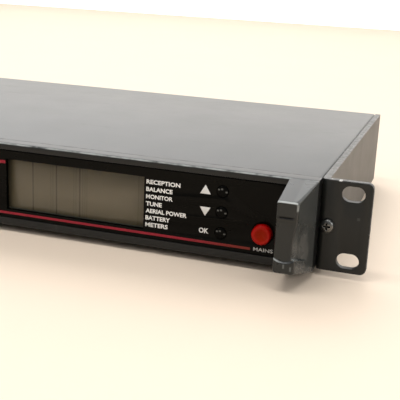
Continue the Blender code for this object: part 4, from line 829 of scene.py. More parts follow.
# %% [markdown]
# ## Small black mouldings and rubber
# Buttons, switches and sockets are black plastic of different gloss, and the feet
# are rubber, rougher and dustier. Switches, sockets and feet share one rule with
# other numbers, and the button caps carry painted highlights near their rims.

# %% Black plastics and rubber
def black(name, shade, rough, grain_scale, grain_depth, dusty=0.2, mirror=0.5):
    finish = Finish(name)
    grain = finish.noise(grain_scale, 3, 0.6)
    cloud = finish.noise(160, 3, 0.6)
    dust = finish.noise(650, 4, 0.7).rise(0.58, 0.75)
    light = tuple(1.6 * part for part in shade)
    colour = finish.blend(cloud, shade, light)
    colour = finish.blend(dusty * dust, colour, (0.2, 0.195, 0.18))
    return finish.done(
        Base_Color=colour,
        Roughness=rough + 0.1 * cloud,
        Normal=finish.bump(grain, grain_depth, 0.5),
        Specular_IOR_Level=mirror,
    )


def button_black(name):
    """A gloss black cap with painted highlights at three places near its rim."""
    centre = centre_of(f"button_{name}")
    finish = Finish(f"button_black_{name}")
    cloud = finish.noise(160, 3, 0.6)
    grain = finish.noise(4000, 3, 0.6)
    shade = finish.blend(cloud, (0.001, 0.001, 0.0008), (0.0022, 0.0022, 0.0018))
    # Three small painted highlights near the rim of the cap.
    for across, up in ((-1.7, 0.9), (2.0, -0.1), (-0.2, 1.2)):
        spot = finish.x.near(centre[0] + across * MM, 0.62 * MM)
        spot = spot * finish.z.near(centre[2] + up * MM, 0.5 * MM)
        shade = finish.blend(0.2 * spot, shade, (0.5, 0.5, 0.46))
    return finish.done(
        Base_Color=shade,
        Roughness=0.14 + 0.1 * cloud,
        Normal=finish.bump(grain, 0.000004, 0.5),
        Specular_IOR_Level=0.05,
    )


BUTTON_BLACK = {name: button_black(name) for name in ("up", "down", "set")}
SWITCH_BLACK = black("switch_black", (0.02, 0.02, 0.02), 0.5, 3000, 0.00001)
SOCKET_BLACK = black("socket_black", (0.012, 0.012, 0.012), 0.42, 3500, 0.00001, 0.12)
FOOT_RUBBER = black("foot_rubber", (0.012, 0.012, 0.012), 0.72, 1800, 0.00003, 0.3)
print("black mouldings: 3, rubber: 1")

# %% [markdown]
# ## Bare and plated metals
# Plating is nearly even, so its life is in the roughness: fine brushing, a little
# tarnish in the colour and wear on what is handled.

# %% Metals
def metal(name, bright, dull, rough, brush=(1.0, 1.0, 1.0), scale=900, coated=0.0):
    """Metal between two tints. Brushing is noise that is stretched along one axis."""
    finish = Finish(name)
    lines = finish.noise(scale, 3, 0.6, brush)
    tarnish = finish.noise(130, 4, 0.65)
    shade = finish.blend(tarnish, bright, dull)
    return finish.done(
        Base_Color=shade,
        Metallic=1.0 - coated * tarnish,
        Roughness=rough + 0.16 * lines + 0.06 * tarnish,
        Normal=finish.bump(lines, 0.000006, 0.4),
    )


NICKEL = metal("nickel", (0.62, 0.59, 0.53), (0.5, 0.47, 0.42), 0.16)
ZINC = metal("zinc_screw", (0.6, 0.6, 0.56), (0.46, 0.47, 0.42), 0.24)
TINPLATE = metal("tinplate", (0.62, 0.62, 0.6), (0.5, 0.5, 0.48), 0.26, (1.0, 0.05, 1.0))
HEAT_SINK = metal("heat_sink_metal", (0.5, 0.5, 0.5), (0.4, 0.4, 0.41), 0.34, (1.0, 1.0, 0.04))
BLACK_STEEL = metal("black_screw", (0.2, 0.2, 0.19), (0.1, 0.1, 0.095), 0.2, scale=1400)
DISPLAY_METAL = metal("display_metal", (0.07, 0.07, 0.05), (0.05, 0.05, 0.036), 0.5, coated=0.8)
GOLD = metal("gold_pins", (0.75, 0.58, 0.26), (0.62, 0.47, 0.2), 0.2)
print("metals: 7")

# %% [markdown]
# ## What is inside
# The boards, the transformer and their neighbours are hidden by the case, but they
# show when the model is opened, so each has its own finish: tracks under green
# lacquer, laminations and tape on the transformer, a shrunk sleeve on the capacitor.

# %% Inner finishes
def circuit_board():
    finish = Finish("circuit_board")
    tracks = finish.node(
        "ShaderNodeTexBrick",
        {"offset": 0.35, "squash": 2.0, "squash_frequency": 3},
        {"Vector": finish.place, "Scale": 260.0, "Mortar Size": 0.12, "Color1": (0.0, 0.0, 0.0),
         "Color2": (0.15, 0.15, 0.15), "Mortar": (1.0, 1.0, 1.0)},
    )
    pads = 1 - finish.cells(300).rise(0.12, 0.16)
    haze = finish.noise(60, 3)
    shade = finish.blend(haze, (0.006, 0.06, 0.022), (0.012, 0.085, 0.03))
    shade = finish.blend(0.45 * tracks, shade, (0.03, 0.17, 0.06))
    shade = finish.blend(pads, shade, (0.5, 0.48, 0.42))
    return finish.done(
        Base_Color=shade, Metallic=0.8 * pads, Roughness=0.3 + 0.15 * haze,
        Normal=finish.bump(tracks, 0.00003, 0.6),
    )


def transformer_steel():
    finish = Finish("transformer_steel")
    core = abs(finish.y - centre_of("mains_transformer")[1])
    wrap = core.rise(0.0079, 0.0081)
    sheets = finish.noise(60, 2, 0.5, (0.02, 40.0, 0.02))
    tape = finish.noise(90, 3, 0.5, (1.0, 1.0, 14.0))
    steel = finish.blend(sheets, (0.09, 0.08, 0.07), (0.2, 0.18, 0.15))
    yellow = finish.blend(tape, (0.42, 0.33, 0.07), (0.55, 0.45, 0.12))
    return finish.done(
        Base_Color=finish.blend(wrap, steel, yellow),
        Metallic=0.7 - 0.7 * wrap,
        Roughness=0.4 + 0.2 * sheets,
        Normal=finish.bump(sheets, 0.00008, 0.5),
    )


def pale_plastic(name, shade, rough):
    finish = Finish(name)
    cloud = finish.noise(220, 3)
    dark = tuple(0.82 * part for part in shade)
    return finish.done(
        Base_Color=finish.blend(cloud, shade, dark), Roughness=rough + 0.12 * cloud,
        Normal=finish.bump(cloud, 0.00001, 0.4),
    )


CIRCUIT_BOARD = circuit_board()
TRANSFORMER = transformer_steel()
BACKLIGHT = pale_plastic("backlight", (0.78, 0.78, 0.74), 0.45)
NYLON = pale_plastic("rod_nylon", (0.62, 0.61, 0.55), 0.42)
SLEEVE = pale_plastic("capacitor_sleeve", (0.02, 0.03, 0.1), 0.3)
FUSE_GLASS = pale_plastic("fuse_glass", (0.7, 0.74, 0.74), 0.08)
dress(CIRCUIT_BOARD, "lcd_board", "display_board", "main_board", "supply_board")
dress(TRANSFORMER, "mains_transformer")
dress(BACKLIGHT, "lcd_backlight")
dress(NYLON, "power_rod")
dress(SLEEVE, "supply_capacitor")
dress(FUSE_GLASS, "fuse")
dress(TINPLATE, "tuner_can_a", "tuner_can_b")
dress(HEAT_SINK, "heat_sink")
dress(SWITCH_BLACK, "power_switch", "button_switch_up", "button_switch_down", "button_switch_set")
dress(DISPLAY_METAL, "lcd_bezel")
dress(ZINC, *[name for name in NODES if name.startswith("handle_bolt")])
dress(CASE_PAINT, "bottom_tray")

# %% [markdown]
# ## The top cover
# The cover is one sheet of steel folded twice, so that it is the top and both
# sides, with a short lip turned down at the rear. Seen from the end it is a long
# thin outline: out along the outer skin and back along the inner one, with a small
# radius at each fold. Carried from front to back, that outline is the cover.

# %% Top cover
cover_low, cover_high = span("top_cover")
SHEET = 1.2 * MM
FOLD = 1.6 * MM
LIP = 6.0 * MM
COVER_SCREW_HOLE = 1.9 * MM
COVER_SCREWS = ("left", "middle", "right")


def folded_outline(low, high, sheet, fold):
    """An upside-down U in X and Z: its outer skin with a fold radius, and its inner skin."""
    x0, x1, z0, z1 = low[0], high[0], low[2], high[2]
    corners = [
        (x1, z0), (x1, z1), (x0, z1), (x0, z0),
        (x0 + sheet, z0), (x0 + sheet, z1 - sheet), (x1 - sheet, z1 - sheet), (x1 - sheet, z0),
    ]
    tight = 0.2 * MM
    radii = [tight, fold, fold, tight, tight, fold - sheet, fold - sheet, tight]
    return eased(corners, radii, steps=6)


def rear_lip():
    """The lip: a thin plate with a notch over each tall socket flange and three screw holes."""
    top, bottom = cover_high[2] - SHEET / 2, cover_high[2] - LIP
    left, right = cover_low[0] + SHEET / 2, cover_high[0] - SHEET / 2
    path = [(left, bottom)]
    for node in ("balanced_shell", "mains_inlet"):
        low, high = span(node)
        gap = 0.3 * MM
        peak = high[2] + gap
        path += [
            (low[0] - gap, bottom), (low[0] - gap, peak), (high[0] + gap, peak), (high[0] + gap, bottom)
        ]
    path += [(right, bottom), (right, top), (left, top)]
    holes = [hole_at(f"cover_screw_{name}", COVER_SCREW_HOLE, 32) for name in COVER_SCREWS]
    return plate([eased(path, 0.3 * MM, 2), *holes], cover_high[1] - SHEET, cover_high[1], edge=0.15 * MM)


cover_outline = folded_outline(cover_low, cover_high, SHEET, FOLD)
cover = carried(cover_outline, cover_low[1], cover_high[1], edge=0.5 * MM, steps=3, folded=True)
make_piece("top_cover_skin", [cover, rear_lip()], CASE_PAINT, "case_paint", "top_cover")

# %% [markdown]
# ## The front frame
# The frame is one moulding: bars above and below the window and a wide flat at each
# end behind the handles. Its section is the same all the way round, only stretched,
# so it is made like a picture frame. The section has three lines that the corners
# are mitred on: the outer edge, the window's seat and the opening.

# %% Front frame
frame_low, frame_high = span("front_frame")
window_low, window_high = span("front_window")
PLAY = 0.3 * MM
SEAT_DEPTH = 2.6 * MM
OPENING_INSET = {"side": 3.0 * MM, "top": 2.05 * MM, "bottom": 2.95 * MM}


def frame_section():
    """The section as (line, distance inwards from that line, place in depth)."""
    front, back = frame_low[1], frame_high[1]
    seat = front + SEAT_DEPTH
    big, small = 1.4 * MM, 0.25 * MM
    a = np.linspace(0, np.pi / 2, 7)
    rows = [(0, 0.15 * MM, back), (0, 0.0, back - 0.15 * MM)]
    rows += [(0, big * (1 - c), front + big * (1 - s)) for c, s in zip(np.cos(a), np.sin(a))]
    rows += [(1, -small, front), (1, -0.3 * small, front + 0.3 * small), (1, 0.0, front + small)]
    rows += [(1, 0.0, seat), (2, -0.1 * MM, seat), (2, 0.0, seat + 0.1 * MM), (2, 0.0, back)]
    return rows


def frame_ring():
    """Each section row becomes a ring of four mitred corners: line corner less the distance inwards."""
    outer = (frame_low[0], frame_high[0], frame_low[2], frame_high[2])
    seat = (window_low[0] - PLAY, window_high[0] + PLAY, window_low[2] - PLAY, window_high[2] + PLAY)
    side, top, bottom = OPENING_INSET["side"], OPENING_INSET["top"], OPENING_INSET["bottom"]
    opening = (seat[0] + side, seat[1] - side, seat[2] + bottom, seat[3] - top)
    lines = np.array([outer, seat, opening])
    section = frame_section()
    line = lines[[row[0] for row in section]]
    inwards = np.array([row[1] for row in section])
    depth = np.array([row[2] for row in section])
    x0, x1 = line[:, 0] + inwards, line[:, 1] - inwards
    z0, z1 = line[:, 2] + inwards, line[:, 3] - inwards
    corners = [(x1, depth, z1), (x0, depth, z1), (x0, depth, z0), (x1, depth, z0)]
    points = np.stack([np.stack(corner, -1) for corner in corners], axis=1)
    return grid(points, round_rows=True, round_columns=True)


make_piece("front_frame_moulding", [frame_ring()], FRAME_PLASTIC, "frame_finish", "front_frame")

# %% [markdown]
# ## The window and its printing
# The window is a flat sheet with four round holes, one for each button. A grid with
# holes would waste points, so it is a filled curve, whose rims are rounded as it is
# thickened.

# %% Window sheet with holes
BUTTON_NAMES = ("up", "down", "set")
BUTTON_PLAY = 0.3 * MM
POWER_PLAY = 0.4 * MM
BUTTON_RADIUS = 2.7 * MM
power_radius = (power_high - power_low)[0] / 2
rim = face_outline(window_low, window_high, 0.6 * MM)
holes = [hole_at(f"button_{name}", BUTTON_RADIUS + BUTTON_PLAY, 72) for name in BUTTON_NAMES]
holes.append(hole_at("power_button", power_radius + POWER_PLAY, 96))
window = plate([rim, *holes], window_low[1], window_high[1], edge=0.12 * MM)
make_piece("window_sheet", [window], WINDOW_SHEET, "window_sheet", "front_window")

# %% [markdown]
# ## Words, triangles and rules
# The words name what the display can show, and here they are general words of the
# right length, in heavy capitals. The triangles stand beside the buttons that step
# up and down, and a red rule runs under everything as far as the power button. They
# are real geometry, a few hundredths of a millimetre thick, like the ink itself.

# %% Printed words, triangles and rules
INK = 0.04 * MM
ink_face = window_low[1]
LEGENDS = (
    ("RECEPTION", 11.2, 17.2), ("BALANCE", 7.55, 13.4), ("MONITOR", 3.9, 13.6), ("TUNE", 0.3, 8.2),
    ("AERIAL POWER", -3.2, 20.9), ("BATTERY", -6.7, 12.6), ("METERS", -10.2, 11.6),
)
LEGEND_LEFT = 134.9 * MM
LEGEND_HEIGHT = 2.15 * MM


def word(words, left, middle, height, width, weight=0.03):
    """Printed words whose width is set too, as a heavy extended face has it."""
    points, faces = lettering(words, left, MIDDLE_Z + middle, height, ink_face, INK, weight)
    points[:, 0] = left + (points[:, 0] - left) * width / np.ptp(points[:, 0])
    return points, faces


def triangle(points):
    """A small printed triangle with eased corners."""
    outline = eased(np.array(points) * MM + (0, MIDDLE_Z), 0.25 * MM, 3)
    return carried(outline, ink_face - INK, ink_face, edge=0.01 * MM)


white = [word(words, LEGEND_LEFT, z * MM, LEGEND_HEIGHT, width * MM) for words, z, width in LEGENDS]
white.append(triangle([(167.3, 8.9), (164.6, 13.3), (162.0, 8.9)]))
white.append(triangle([(162.2, 2.5), (164.9, -1.8), (167.5, 2.5)]))
white.append(word("OK", 162.2 * MM, -9.15 * MM, 2.6 * MM, 4.8 * MM))
white.append(word("MAINS", 189.3 * MM, -14.6 * MM, 1.8 * MM, 9.4 * MM, 0.012))
make_piece("window_words", white, WHITE_INK, "window_sheet")


def rule(left, right, middle, width):
    """A printed line between two places in X, with its middle at a height."""
    low = (left, MIDDLE_Z + middle - width / 2)
    high = (right, MIDDLE_Z + middle + width / 2)
    return carried(rounded_rectangle(low, high, 0.3 * MM), ink_face - INK, ink_face, edge=0.01 * MM)


window_left = window_low[0] + 3.0 * MM
red = [
    rule(window_left, 187.8 * MM, -14.8 * MM, 1.25 * MM),
    rule(window_left, 58.3 * MM, 11.7 * MM, 1.6 * MM),
]
make_piece("window_rules", red, RED_INK, "window_sheet")

# %% [markdown]
# ## The display cell
# The cell is two panes of glass with the liquid crystal between them. The rear pane
# is larger, and carries the contacts along the ledge that it leaves. A pressed
# bezel with a narrow lip holds the panes against their board.

# %% Display panes and bezel
LEDGE = 1.0 * MM
BEZEL_WALL = 1.2 * MM
BEZEL_LIP = 0.6 * MM
LIP_WIDTH = 0.15 * MM
cell_low = bezel_low + (BEZEL_WALL, 0, BEZEL_WALL)
cell_high = bezel_high - (BEZEL_WALL, 0, BEZEL_WALL)
CELL_GAP = 0.02 * MM
split = (glass_low[1] + glass_high[1]) / 2
front_pane = block(
    (cell_low[0], glass_low[1], cell_low[2]),
    (cell_high[0], split - CELL_GAP, cell_high[2] - LEDGE),
    edge=0.08 * MM,
)
rear_low_corner = (cell_low[0], split, cell_low[2])
rear_high_corner = (cell_high[0], glass_high[1], cell_high[2])
rear_pane = block(rear_low_corner, rear_high_corner, edge=0.08 * MM)
make_piece("display_panes", [front_pane, rear_pane], DISPLAY_GLASS, "display_glass", "lcd_glass")

bezel_rim = face_outline(bezel_low, bezel_high, 0.8 * MM)
lip_hole = face_outline(cell_low, cell_high, 0.4 * MM, LIP_WIDTH)
wall_hole = face_outline(cell_low, cell_high, 0.4 * MM)
lip = plate([bezel_rim, lip_hole], bezel_low[1], bezel_low[1] + BEZEL_LIP - CELL_GAP)
wall = plate([bezel_rim, wall_hole], bezel_low[1] + BEZEL_LIP, bezel_high[1])
make_piece("display_bezel", [lip, wall], DISPLAY_METAL, "display_metal", "lcd_bezel")

# %% [markdown]
# ## Buttons
# A push button is a turned shape: a domed cap, a flange behind the window that
# keeps it in, and a stem. It is one profile turned round its axis.

# %% Push buttons
def button_cap(name):
    """A dome of height h (1 - (r/R)^2)^0.5 on a rounded cap, with its flange and stem."""
    low, high = span(f"button_{name}")
    centre = centre_of(f"button_{name}") * (1, 0, 1)
    front = low[1]
    flange_front = window_high[1] + PLAY
    flange_back = flange_front + 1.0 * MM
    r = np.linspace(0, 1, 14)
    dome = np.stack([front + 0.42 * MM * (1 - np.sqrt(1 - (0.97 * r) ** 2)), BUTTON_RADIUS * 0.93 * r], -1)
    side = eased(
        [dome[-1], (front + 0.36 * MM, BUTTON_RADIUS * 0.985), (front + 0.6 * MM, BUTTON_RADIUS),
         (flange_front, BUTTON_RADIUS), (flange_front, BUTTON_RADIUS + 1.0 * MM),
         (flange_back, BUTTON_RADIUS + 1.0 * MM), (flange_back, 1.6 * MM), (high[1], 1.6 * MM),
         (high[1], 0.0)],
        0.12 * MM, 3, closed=False,
    )
    return turned(np.concatenate([dome, side[1:]]), centre)


for name in BUTTON_NAMES:
    body = f"{name}_button"
    shape, finish = button_cap(name), BUTTON_BLACK[name]
    make_piece(f"button_cap_{name}", [shape], finish, "button_black", f"button_{name}", body=body)

# %% [markdown]
# ## The power button's cap
# The power button is larger, with a rounded rim and a dished middle for the
# fingertip. The dish could be a sphere's cut, but a cosine meets the flat ring
# without a crease, which keeps its reflection smooth.

# %% Power button
def power_cap():
    """A rim of radius e, a flat ring, and a dish whose depth is d cos^2 of the way out."""
    front, back = power_low[1], power_high[1]
    edge, dish = 0.9 * MM, 0.5 * MM
    ring = power_radius - edge
    r = np.linspace(0, 1, 16)
    bowl = np.stack([front + dish * np.cos(np.pi / 2 * r) ** 2, (ring - 0.25 * MM) * r], -1)
    a = np.linspace(0, np.pi / 2, 10)
    rim_arc = np.stack([front + edge * (1 - np.cos(a)), ring + edge * np.sin(a)], -1)
    rear = np.array([(back - 0.2 * MM, power_radius), (back, power_radius - 0.2 * MM), (back, 2.4 * MM)])
    socket = np.array([(back - 4.2 * MM, 2.4 * MM), (back - 4.2 * MM, 0.0)])
    profile = np.concatenate([bowl, rim_arc, rear, socket])
    return turned(profile, (power_centre[0], 0.0, power_centre[2]), steps=96)


make_piece("power_cap", [power_cap()], POWER_RED, "power_red", "power_button", body="power_plunger")

# %% [markdown]
# ## The end handles
# Each handle is a wedge that stands off the end of the frame: full height at its
# root, shorter and narrower at its nose. A recess runs round its nose, over the
# front face and the outer side, where fingers pull the unit out of a rack. A wedge is
# a rectangle that changes as it goes forward, so it is a grid of rings. The recess
# is a push of those points, which no box with bevels could give.

# %% Handle surface
HANDLE_CORNER = 1.3 * MM
NOSE_EDGE = 1.1 * MM
ROOT_EDGE = 0.35 * MM
WAIST = 0.8 * MM
SCOOP = 1.6 * MM
CREASE = 0.5 * MM
BOTTOM_DROP = 6.2 * MM
SIDE_STEPS = 131


def smooth(value, start, end):
    """0 up to start, 1 from end on, with 3 t^2 - 2 t^3 between, for whole arrays."""
    t = np.clip((value - start) / (end - start), 0, 1)
    return t * t * (3 - 2 * t)


def handle_rings(low, high):
    """Rings of (X, Z) outlines and their depths, from the root to the middle of the nose.

    At share t of the way forward the section goes from the root's rectangle to the
    nose's. Round the nose edge it is set in by e (1 - cos a) at depth e (1 - sin a).
    On the nose the ring shrinks to a short upright line.
    """
    root = np.array([low[0], low[2], high[0], high[2]])
    nose = root + (0, BOTTOM_DROP, -TAPER, -TOP_DROP)
    reach = high[1] - low[1]
    outlines, depths = [], []

    def ring(share, pull, depth, corner):
        x0, z0, x1, z1 = root + (nose - root) * share
        outline = rounded_rectangle((x0 + pull, z0 + pull), (x1 - pull, z1 - pull), corner, 8)
        step_z = np.linspace(z0 + pull + corner, z1 - pull - corner, SIDE_STEPS)[1:-1]
        quarter = len(outline) // 4
        right = np.stack([np.full(len(step_z), x1 - pull), step_z], -1)
        left = np.stack([np.full(len(step_z), x0 + pull), step_z[::-1]], -1)
        outline = np.concatenate(
            [outline[:2 * quarter], left, outline[2 * quarter:], right]
        )
        outlines.append(outline)
        depths.append(np.full(len(outline), depth))

    ring(0.0, ROOT_EDGE, high[1], HANDLE_CORNER * 0.45)
    last = 1 - NOSE_EDGE / reach
    for share in np.linspace(ROOT_EDGE / reach, last, 44):
        corner = HANDLE_CORNER * (0.45 + 0.55 * share)
        ring(share, 0.0, high[1] - share * reach, corner)
    for a in np.linspace(0, np.pi / 2, 9)[1:]:
        pull = NOSE_EDGE * (1 - np.cos(a))
        share = last + (1 - last) * np.sin(a)
        depth = low[1] + NOSE_EDGE * (1 - np.sin(a))
        ring(share, pull * 0.6, depth, max(HANDLE_CORNER - pull * 0.5, 0.4 * MM))
    final = outlines[-1]
    middle_x = (final[:, 0].min() + final[:, 0].max()) / 2
    limit = np.ptp(final[:, 0]) / 2
    for shrink in np.linspace(1, 0, 13)[1:]:
        x = middle_x + (final[:, 0] - middle_x) * shrink
        top, bottom = final[:, 1].max() - limit * (1 - shrink), final[:, 1].min() + limit * (1 - shrink)
        z = np.clip(final[:, 1], bottom, top)
        outlines.append(np.stack([x, z], -1))
        depths.append(np.full(len(final), low[1]))
    return np.stack(outlines), np.stack(depths)


def handle_surface(low, high):
    """The rings, pushed back by the waist across the nose and inwards by the scoop on the outer side."""
    flat, depth = handle_rings(low, high)
    x, z, y = flat[..., 0].copy(), flat[..., 1], depth.copy()
    level = z - MIDDLE_Z
    forward = y - low[1]
    off_centre = abs(x - nose_middle) / HALF_NOSE
    bottom = WAIST_BOTTOM - WAIST_BOW * (1 - off_centre**2)
    waist = smooth(level, WAIST_TOP + 0.2 * MM, WAIST_TOP - 2.4 * MM)
    waist = waist * smooth(level, bottom - 0.5 * MM, bottom + 0.4 * MM)
    crease = smooth(abs(level - WAIST_TOP), 0.55 * MM, 0.0) * smooth(off_centre, 0.95, 0.6)
    y = y + (WAIST * waist + CREASE * crease) * (1 - smooth(forward, 2.5 * MM, 7.0 * MM))
    outer = high[0] - TAPER * (1 - forward / (high[1] - low[1]))
    ledge = WAIST_BOTTOM + 0.6 * MM - LEDGE_FALL * forward
    on_side = smooth(x, outer - 3.6 * MM, outer - 0.4 * MM)
    along = 1 - smooth(forward, 9.0 * MM, 17.0 * MM)
    tall = smooth(level, 10.4 * MM, -3.0 * MM) * smooth(level, ledge - 0.2 * MM, ledge + 0.7 * MM)
    x = x - SCOOP * on_side * along * tall
    points = np.stack([x, y, z], -1)
    shape = grid(points, round_columns=True)
    root = np.arange(points.shape[1])[None, ::-1]
    return shape[0], shape[1] + [root]


def mirrored(shape):
    """A shape reflected in X. Its faces are turned outwards again when the piece is made."""
    return shape[0] * (-1, 1, 1), shape[1]


handle = handle_surface(*span("handle_right"))
make_piece("handle_grip_right", [handle], HANDLE_PLASTIC, "handle_finish", "handle_right")
make_piece("handle_grip_left", [mirrored(handle)], HANDLE_PLASTIC, "handle_finish", "handle_left")

# %% [markdown]
# ## The rack brackets
# A bracket is thick strip bent at a right angle: a flange along the case and an ear
# across it. Seen from above it is an outline with one round bend, carried up the
# height of the unit. The slots are cut from that body, because a cut leaves flat
# faces, and a Bevel modifier then rounds every rim alike.

# %% Bracket body and slots
BRACKET_SHEET = 3.2 * MM
BEND = 2.6 * MM
SLOT_LENGTH = 10.5 * MM
SLOT_HEIGHT = 7.3 * MM
SLOT_FROM_END = 8.75 * MM
SLOT_FROM_TOP = 5.775 * MM
EAR_CORNER = 3.0 * MM
OVERCUT = 1.0 * MM


def bracket_outline(low, high):
    """The bracket from above, in X and Y: the bend is a quarter circle of its outer face."""
    x0, y0, x1, y1 = low[0], low[1], high[0], high[1]
    a = np.radians(np.linspace(180, 270, 13))
    bend = np.stack([x0 + BEND + BEND * np.cos(a), y0 + BEND + BEND * np.sin(a)], -1)
    heel = x0 + BRACKET_SHEET
    rest = [(x1, y0), (x1, y0 + BRACKET_SHEET), (heel, y0 + BRACKET_SHEET), (heel, y1), (x0, y1)]
    return np.concatenate([bend, rest])


def cut_and_round(body_shape, tool_shapes, rounding, segments=2):
    """A body less its tools, with every sharp rim rounded, as a shape."""
    body = bare_object("body", body_shape)
    tools = [bare_object("tool", shape) for shape in tool_shapes]
    for tool in tools:
        cut = body.modifiers.new("cut", "BOOLEAN")
        cut.operation = "DIFFERENCE"
        cut.object = tool
    bevel = body.modifiers.new("rims", "BEVEL")
    bevel.width = rounding
    bevel.segments = segments
    bevel.limit_method = "ANGLE"
    bevel.angle_limit = math.radians(40)
    graph = bpy.context.evaluated_depsgraph_get()
    mesh = bpy.data.meshes.new_from_object(body.evaluated_get(graph))
    shape = shape_of(mesh)
    for thing in (body, *tools):
        bpy.data.objects.remove(thing)
    return shape


def prism(outline, start, end, along="Y"):
    """An outline carried along an axis with square ends, as a cutting tool."""
    return carried(outline, start, end, along, edge=0.0, steps=1)


def through_ear(outline, low):
    """A cutting tool that passes right through the ear."""
    return prism(outline, low[1] - OVERCUT, low[1] + BRACKET_SHEET + OVERCUT)


def ear_corner(low, high, level):
    """What is cut off one outer corner: the square corner less a quarter circle."""
    centre = np.array([high[0] - EAR_CORNER, high[2] - EAR_CORNER])
    a = np.radians(np.linspace(0, 90, 13))
    arc = centre + EAR_CORNER * unit(a)
    far = high[[0, 2]] + OVERCUT
    outline = np.concatenate([arc, [(centre[0], far[1]), far, (far[0], centre[1])]])
    if level < 0:
        outline[:, 1] = low[2] + high[2] - outline[:, 1]
    return through_ear(outline, low)


def bracket(low, high):
    body = prism(bracket_outline(low, high), low[2], high[2], "Z")
    tools = []
    for level in (1, -1):
        z = high[2] - SLOT_FROM_TOP if level > 0 else low[2] + SLOT_FROM_TOP
        centre = np.array([high[0] - SLOT_FROM_END, z])
        half = np.array([SLOT_LENGTH, SLOT_HEIGHT]) / 2
        stadium = rounded_rectangle(centre - half, centre + half, SLOT_HEIGHT / 2 - 0.001 * MM, 14)
        tools.append(through_ear(stadium, low))
        tools.append(ear_corner(low, high, level))
    return cut_and_round(body, tools, 0.3 * MM)


bracket_shape = bracket(*span("rack_bracket_right"))
make_piece("bracket_right", [bracket_shape], BRACKET_PAINT, "bracket_paint", "rack_bracket_right")
make_piece("bracket_left", [mirrored(bracket_shape)], BRACKET_PAINT, "bracket_paint", "rack_bracket_left")

# %% [markdown]
# ## Screws
# A pan head is a low dome, and its cross recess is a pit with sloping walls. Both
# are heights over a disc: the dome less the pit. The pit is deepest in the middle
# and ends at the arms' tips, so it is worked out from how far a point is from the
# nearer arm's middle line.

# %% Screw heads
ROUND = 96


def screw(node, outward, head_radius, head_height, shank_radius):
    """A screw along the axis its head faces: outward is that axis's letter and sign.

    Height over the disc is H (1 - 0.55 r^2.6), less P (1 - d/w) where d is the
    distance to the nearer arm's middle line, w its half width, and P fades at the tips.
    """
    low, high = span(node)
    along = outward[0]
    sign = 1 if outward[1] == "+" else -1
    u, v, w = AXES[along]
    centre = centre_of(node)
    top = (high if sign > 0 else low)[w]
    tail = (low if sign > 0 else high)[w]
    r = np.concatenate([np.linspace(0, 0.62, 22), np.linspace(0.66, 1, 9)])
    a = np.linspace(0, 2 * np.pi, ROUND, endpoint=False)
    flat_x, flat_y = np.outer(r, np.cos(a)), np.outer(r, np.sin(a))
    dome = 1 - 0.5 * r[:, None] ** 3.2 - 0.12 * smooth(r[:, None], 0.85, 1.0)
    near_arm = np.minimum(np.abs(flat_x), np.abs(flat_y))
    along_arm = np.maximum(np.abs(flat_x), np.abs(flat_y))
    pit = np.clip(1.25 * (1 - near_arm / 0.13), 0, 1) * (1 - smooth(along_arm, 0.36, 0.56))
    height = dome - 0.62 * pit
    face = np.stack([flat_x * head_radius, flat_y * head_radius, height * head_height], -1)
    side = np.array([(0.3, 1.0), (0.06, 1.0), (0.0, 0.97), (0.0, shank_radius / head_radius)])
    ring = unit(a) * head_radius

    def circle_at(scale, level):
        return np.concatenate([ring * scale, np.full((ROUND, 1), level)], -1)

    skirt = [circle_at(radius, level * head_height) for level, radius in side]
    length = abs(top - tail) - head_height
    pitch = 0.5 * MM
    turns = max(int(length / pitch), 1)
    thread_levels = np.linspace(0, -length, 4 * turns + 1)[1:]
    depth = 0.12 * np.abs(np.cos(np.pi * np.arange(1, 4 * turns + 1) / 2))
    slim = shank_radius / head_radius
    shank = [circle_at(slim * (1 - d), level) for level, d in zip(thread_levels, depth)]
    rings = np.stack([*skirt, *shank, circle_at(0.0, -length)])
    local = np.concatenate([face, rings])
    level = top - sign * (head_height - local[..., 2])
    points = placed(local[..., :2] + centre[[u, v]], level, along)
    return grid(points, round_columns=True)


PAN_HEAD = (3.3 * MM, 2.3 * MM, 1.5 * MM)
LIP_HEAD = (2.6 * MM, 1.6 * MM, 1.5 * MM)
for side, outward in (("left", "X-"), ("right", "X+")):
    name = f"ear_screw_{side}"
    make_piece(f"{name}_head", [screw(name, "Y-", *PAN_HEAD)], BLACK_STEEL, "black_screw", name)
    for level in ("upper", "lower"):
        name = f"bracket_screw_{side}_{level}"
        make_piece(f"{name}_head", [screw(name, outward, *PAN_HEAD)], BLACK_STEEL, "black_screw", name)
for place in COVER_SCREWS:
    name = f"cover_screw_{place}"
    make_piece(f"{name}_head", [screw(name, "Y+", *LIP_HEAD)], BLACK_STEEL, "black_screw", name)

# %% [markdown]
# ## Feet
# Four turned rubber feet with a rounded rim and a shallow cup underneath, where a
# screw would hold them. The flat ring that stands on the table keeps its place.

# %% Rubber feet
def foot(node):
    low, high = span(node)
    centre = centre_of(node) * (1, 1, 0)
    radius = (high - low)[0] / 2
    bottom, top = low[2], high[2]
    cup = bottom + 1.4 * MM
    profile = eased(
        [(top, 0.0), (top, radius), (bottom, radius - 0.8 * MM), (bottom, 3.0 * MM),
         (cup, 2.4 * MM), (cup, 0.0)],
        [0.0, 0.3 * MM, 0.7 * MM, 0.2 * MM, 0.2 * MM, 0.0], 5, closed=False,
    )
    return turned(profile, centre, "Z", 64)


for row in ("front", "rear"):
    for side in ("left", "right"):
        name = f"foot_{row}_{side}"
        make_piece(f"{name}_rubber", [foot(name)], FOOT_RUBBER, "foot_rubber", name)

# %% [markdown]
# ## The rear panel
# The rear panel is a flat sheet with a hole for each socket. The cover screws pass
# through it too. Its outline and holes are worked out from the sockets' own boxes.

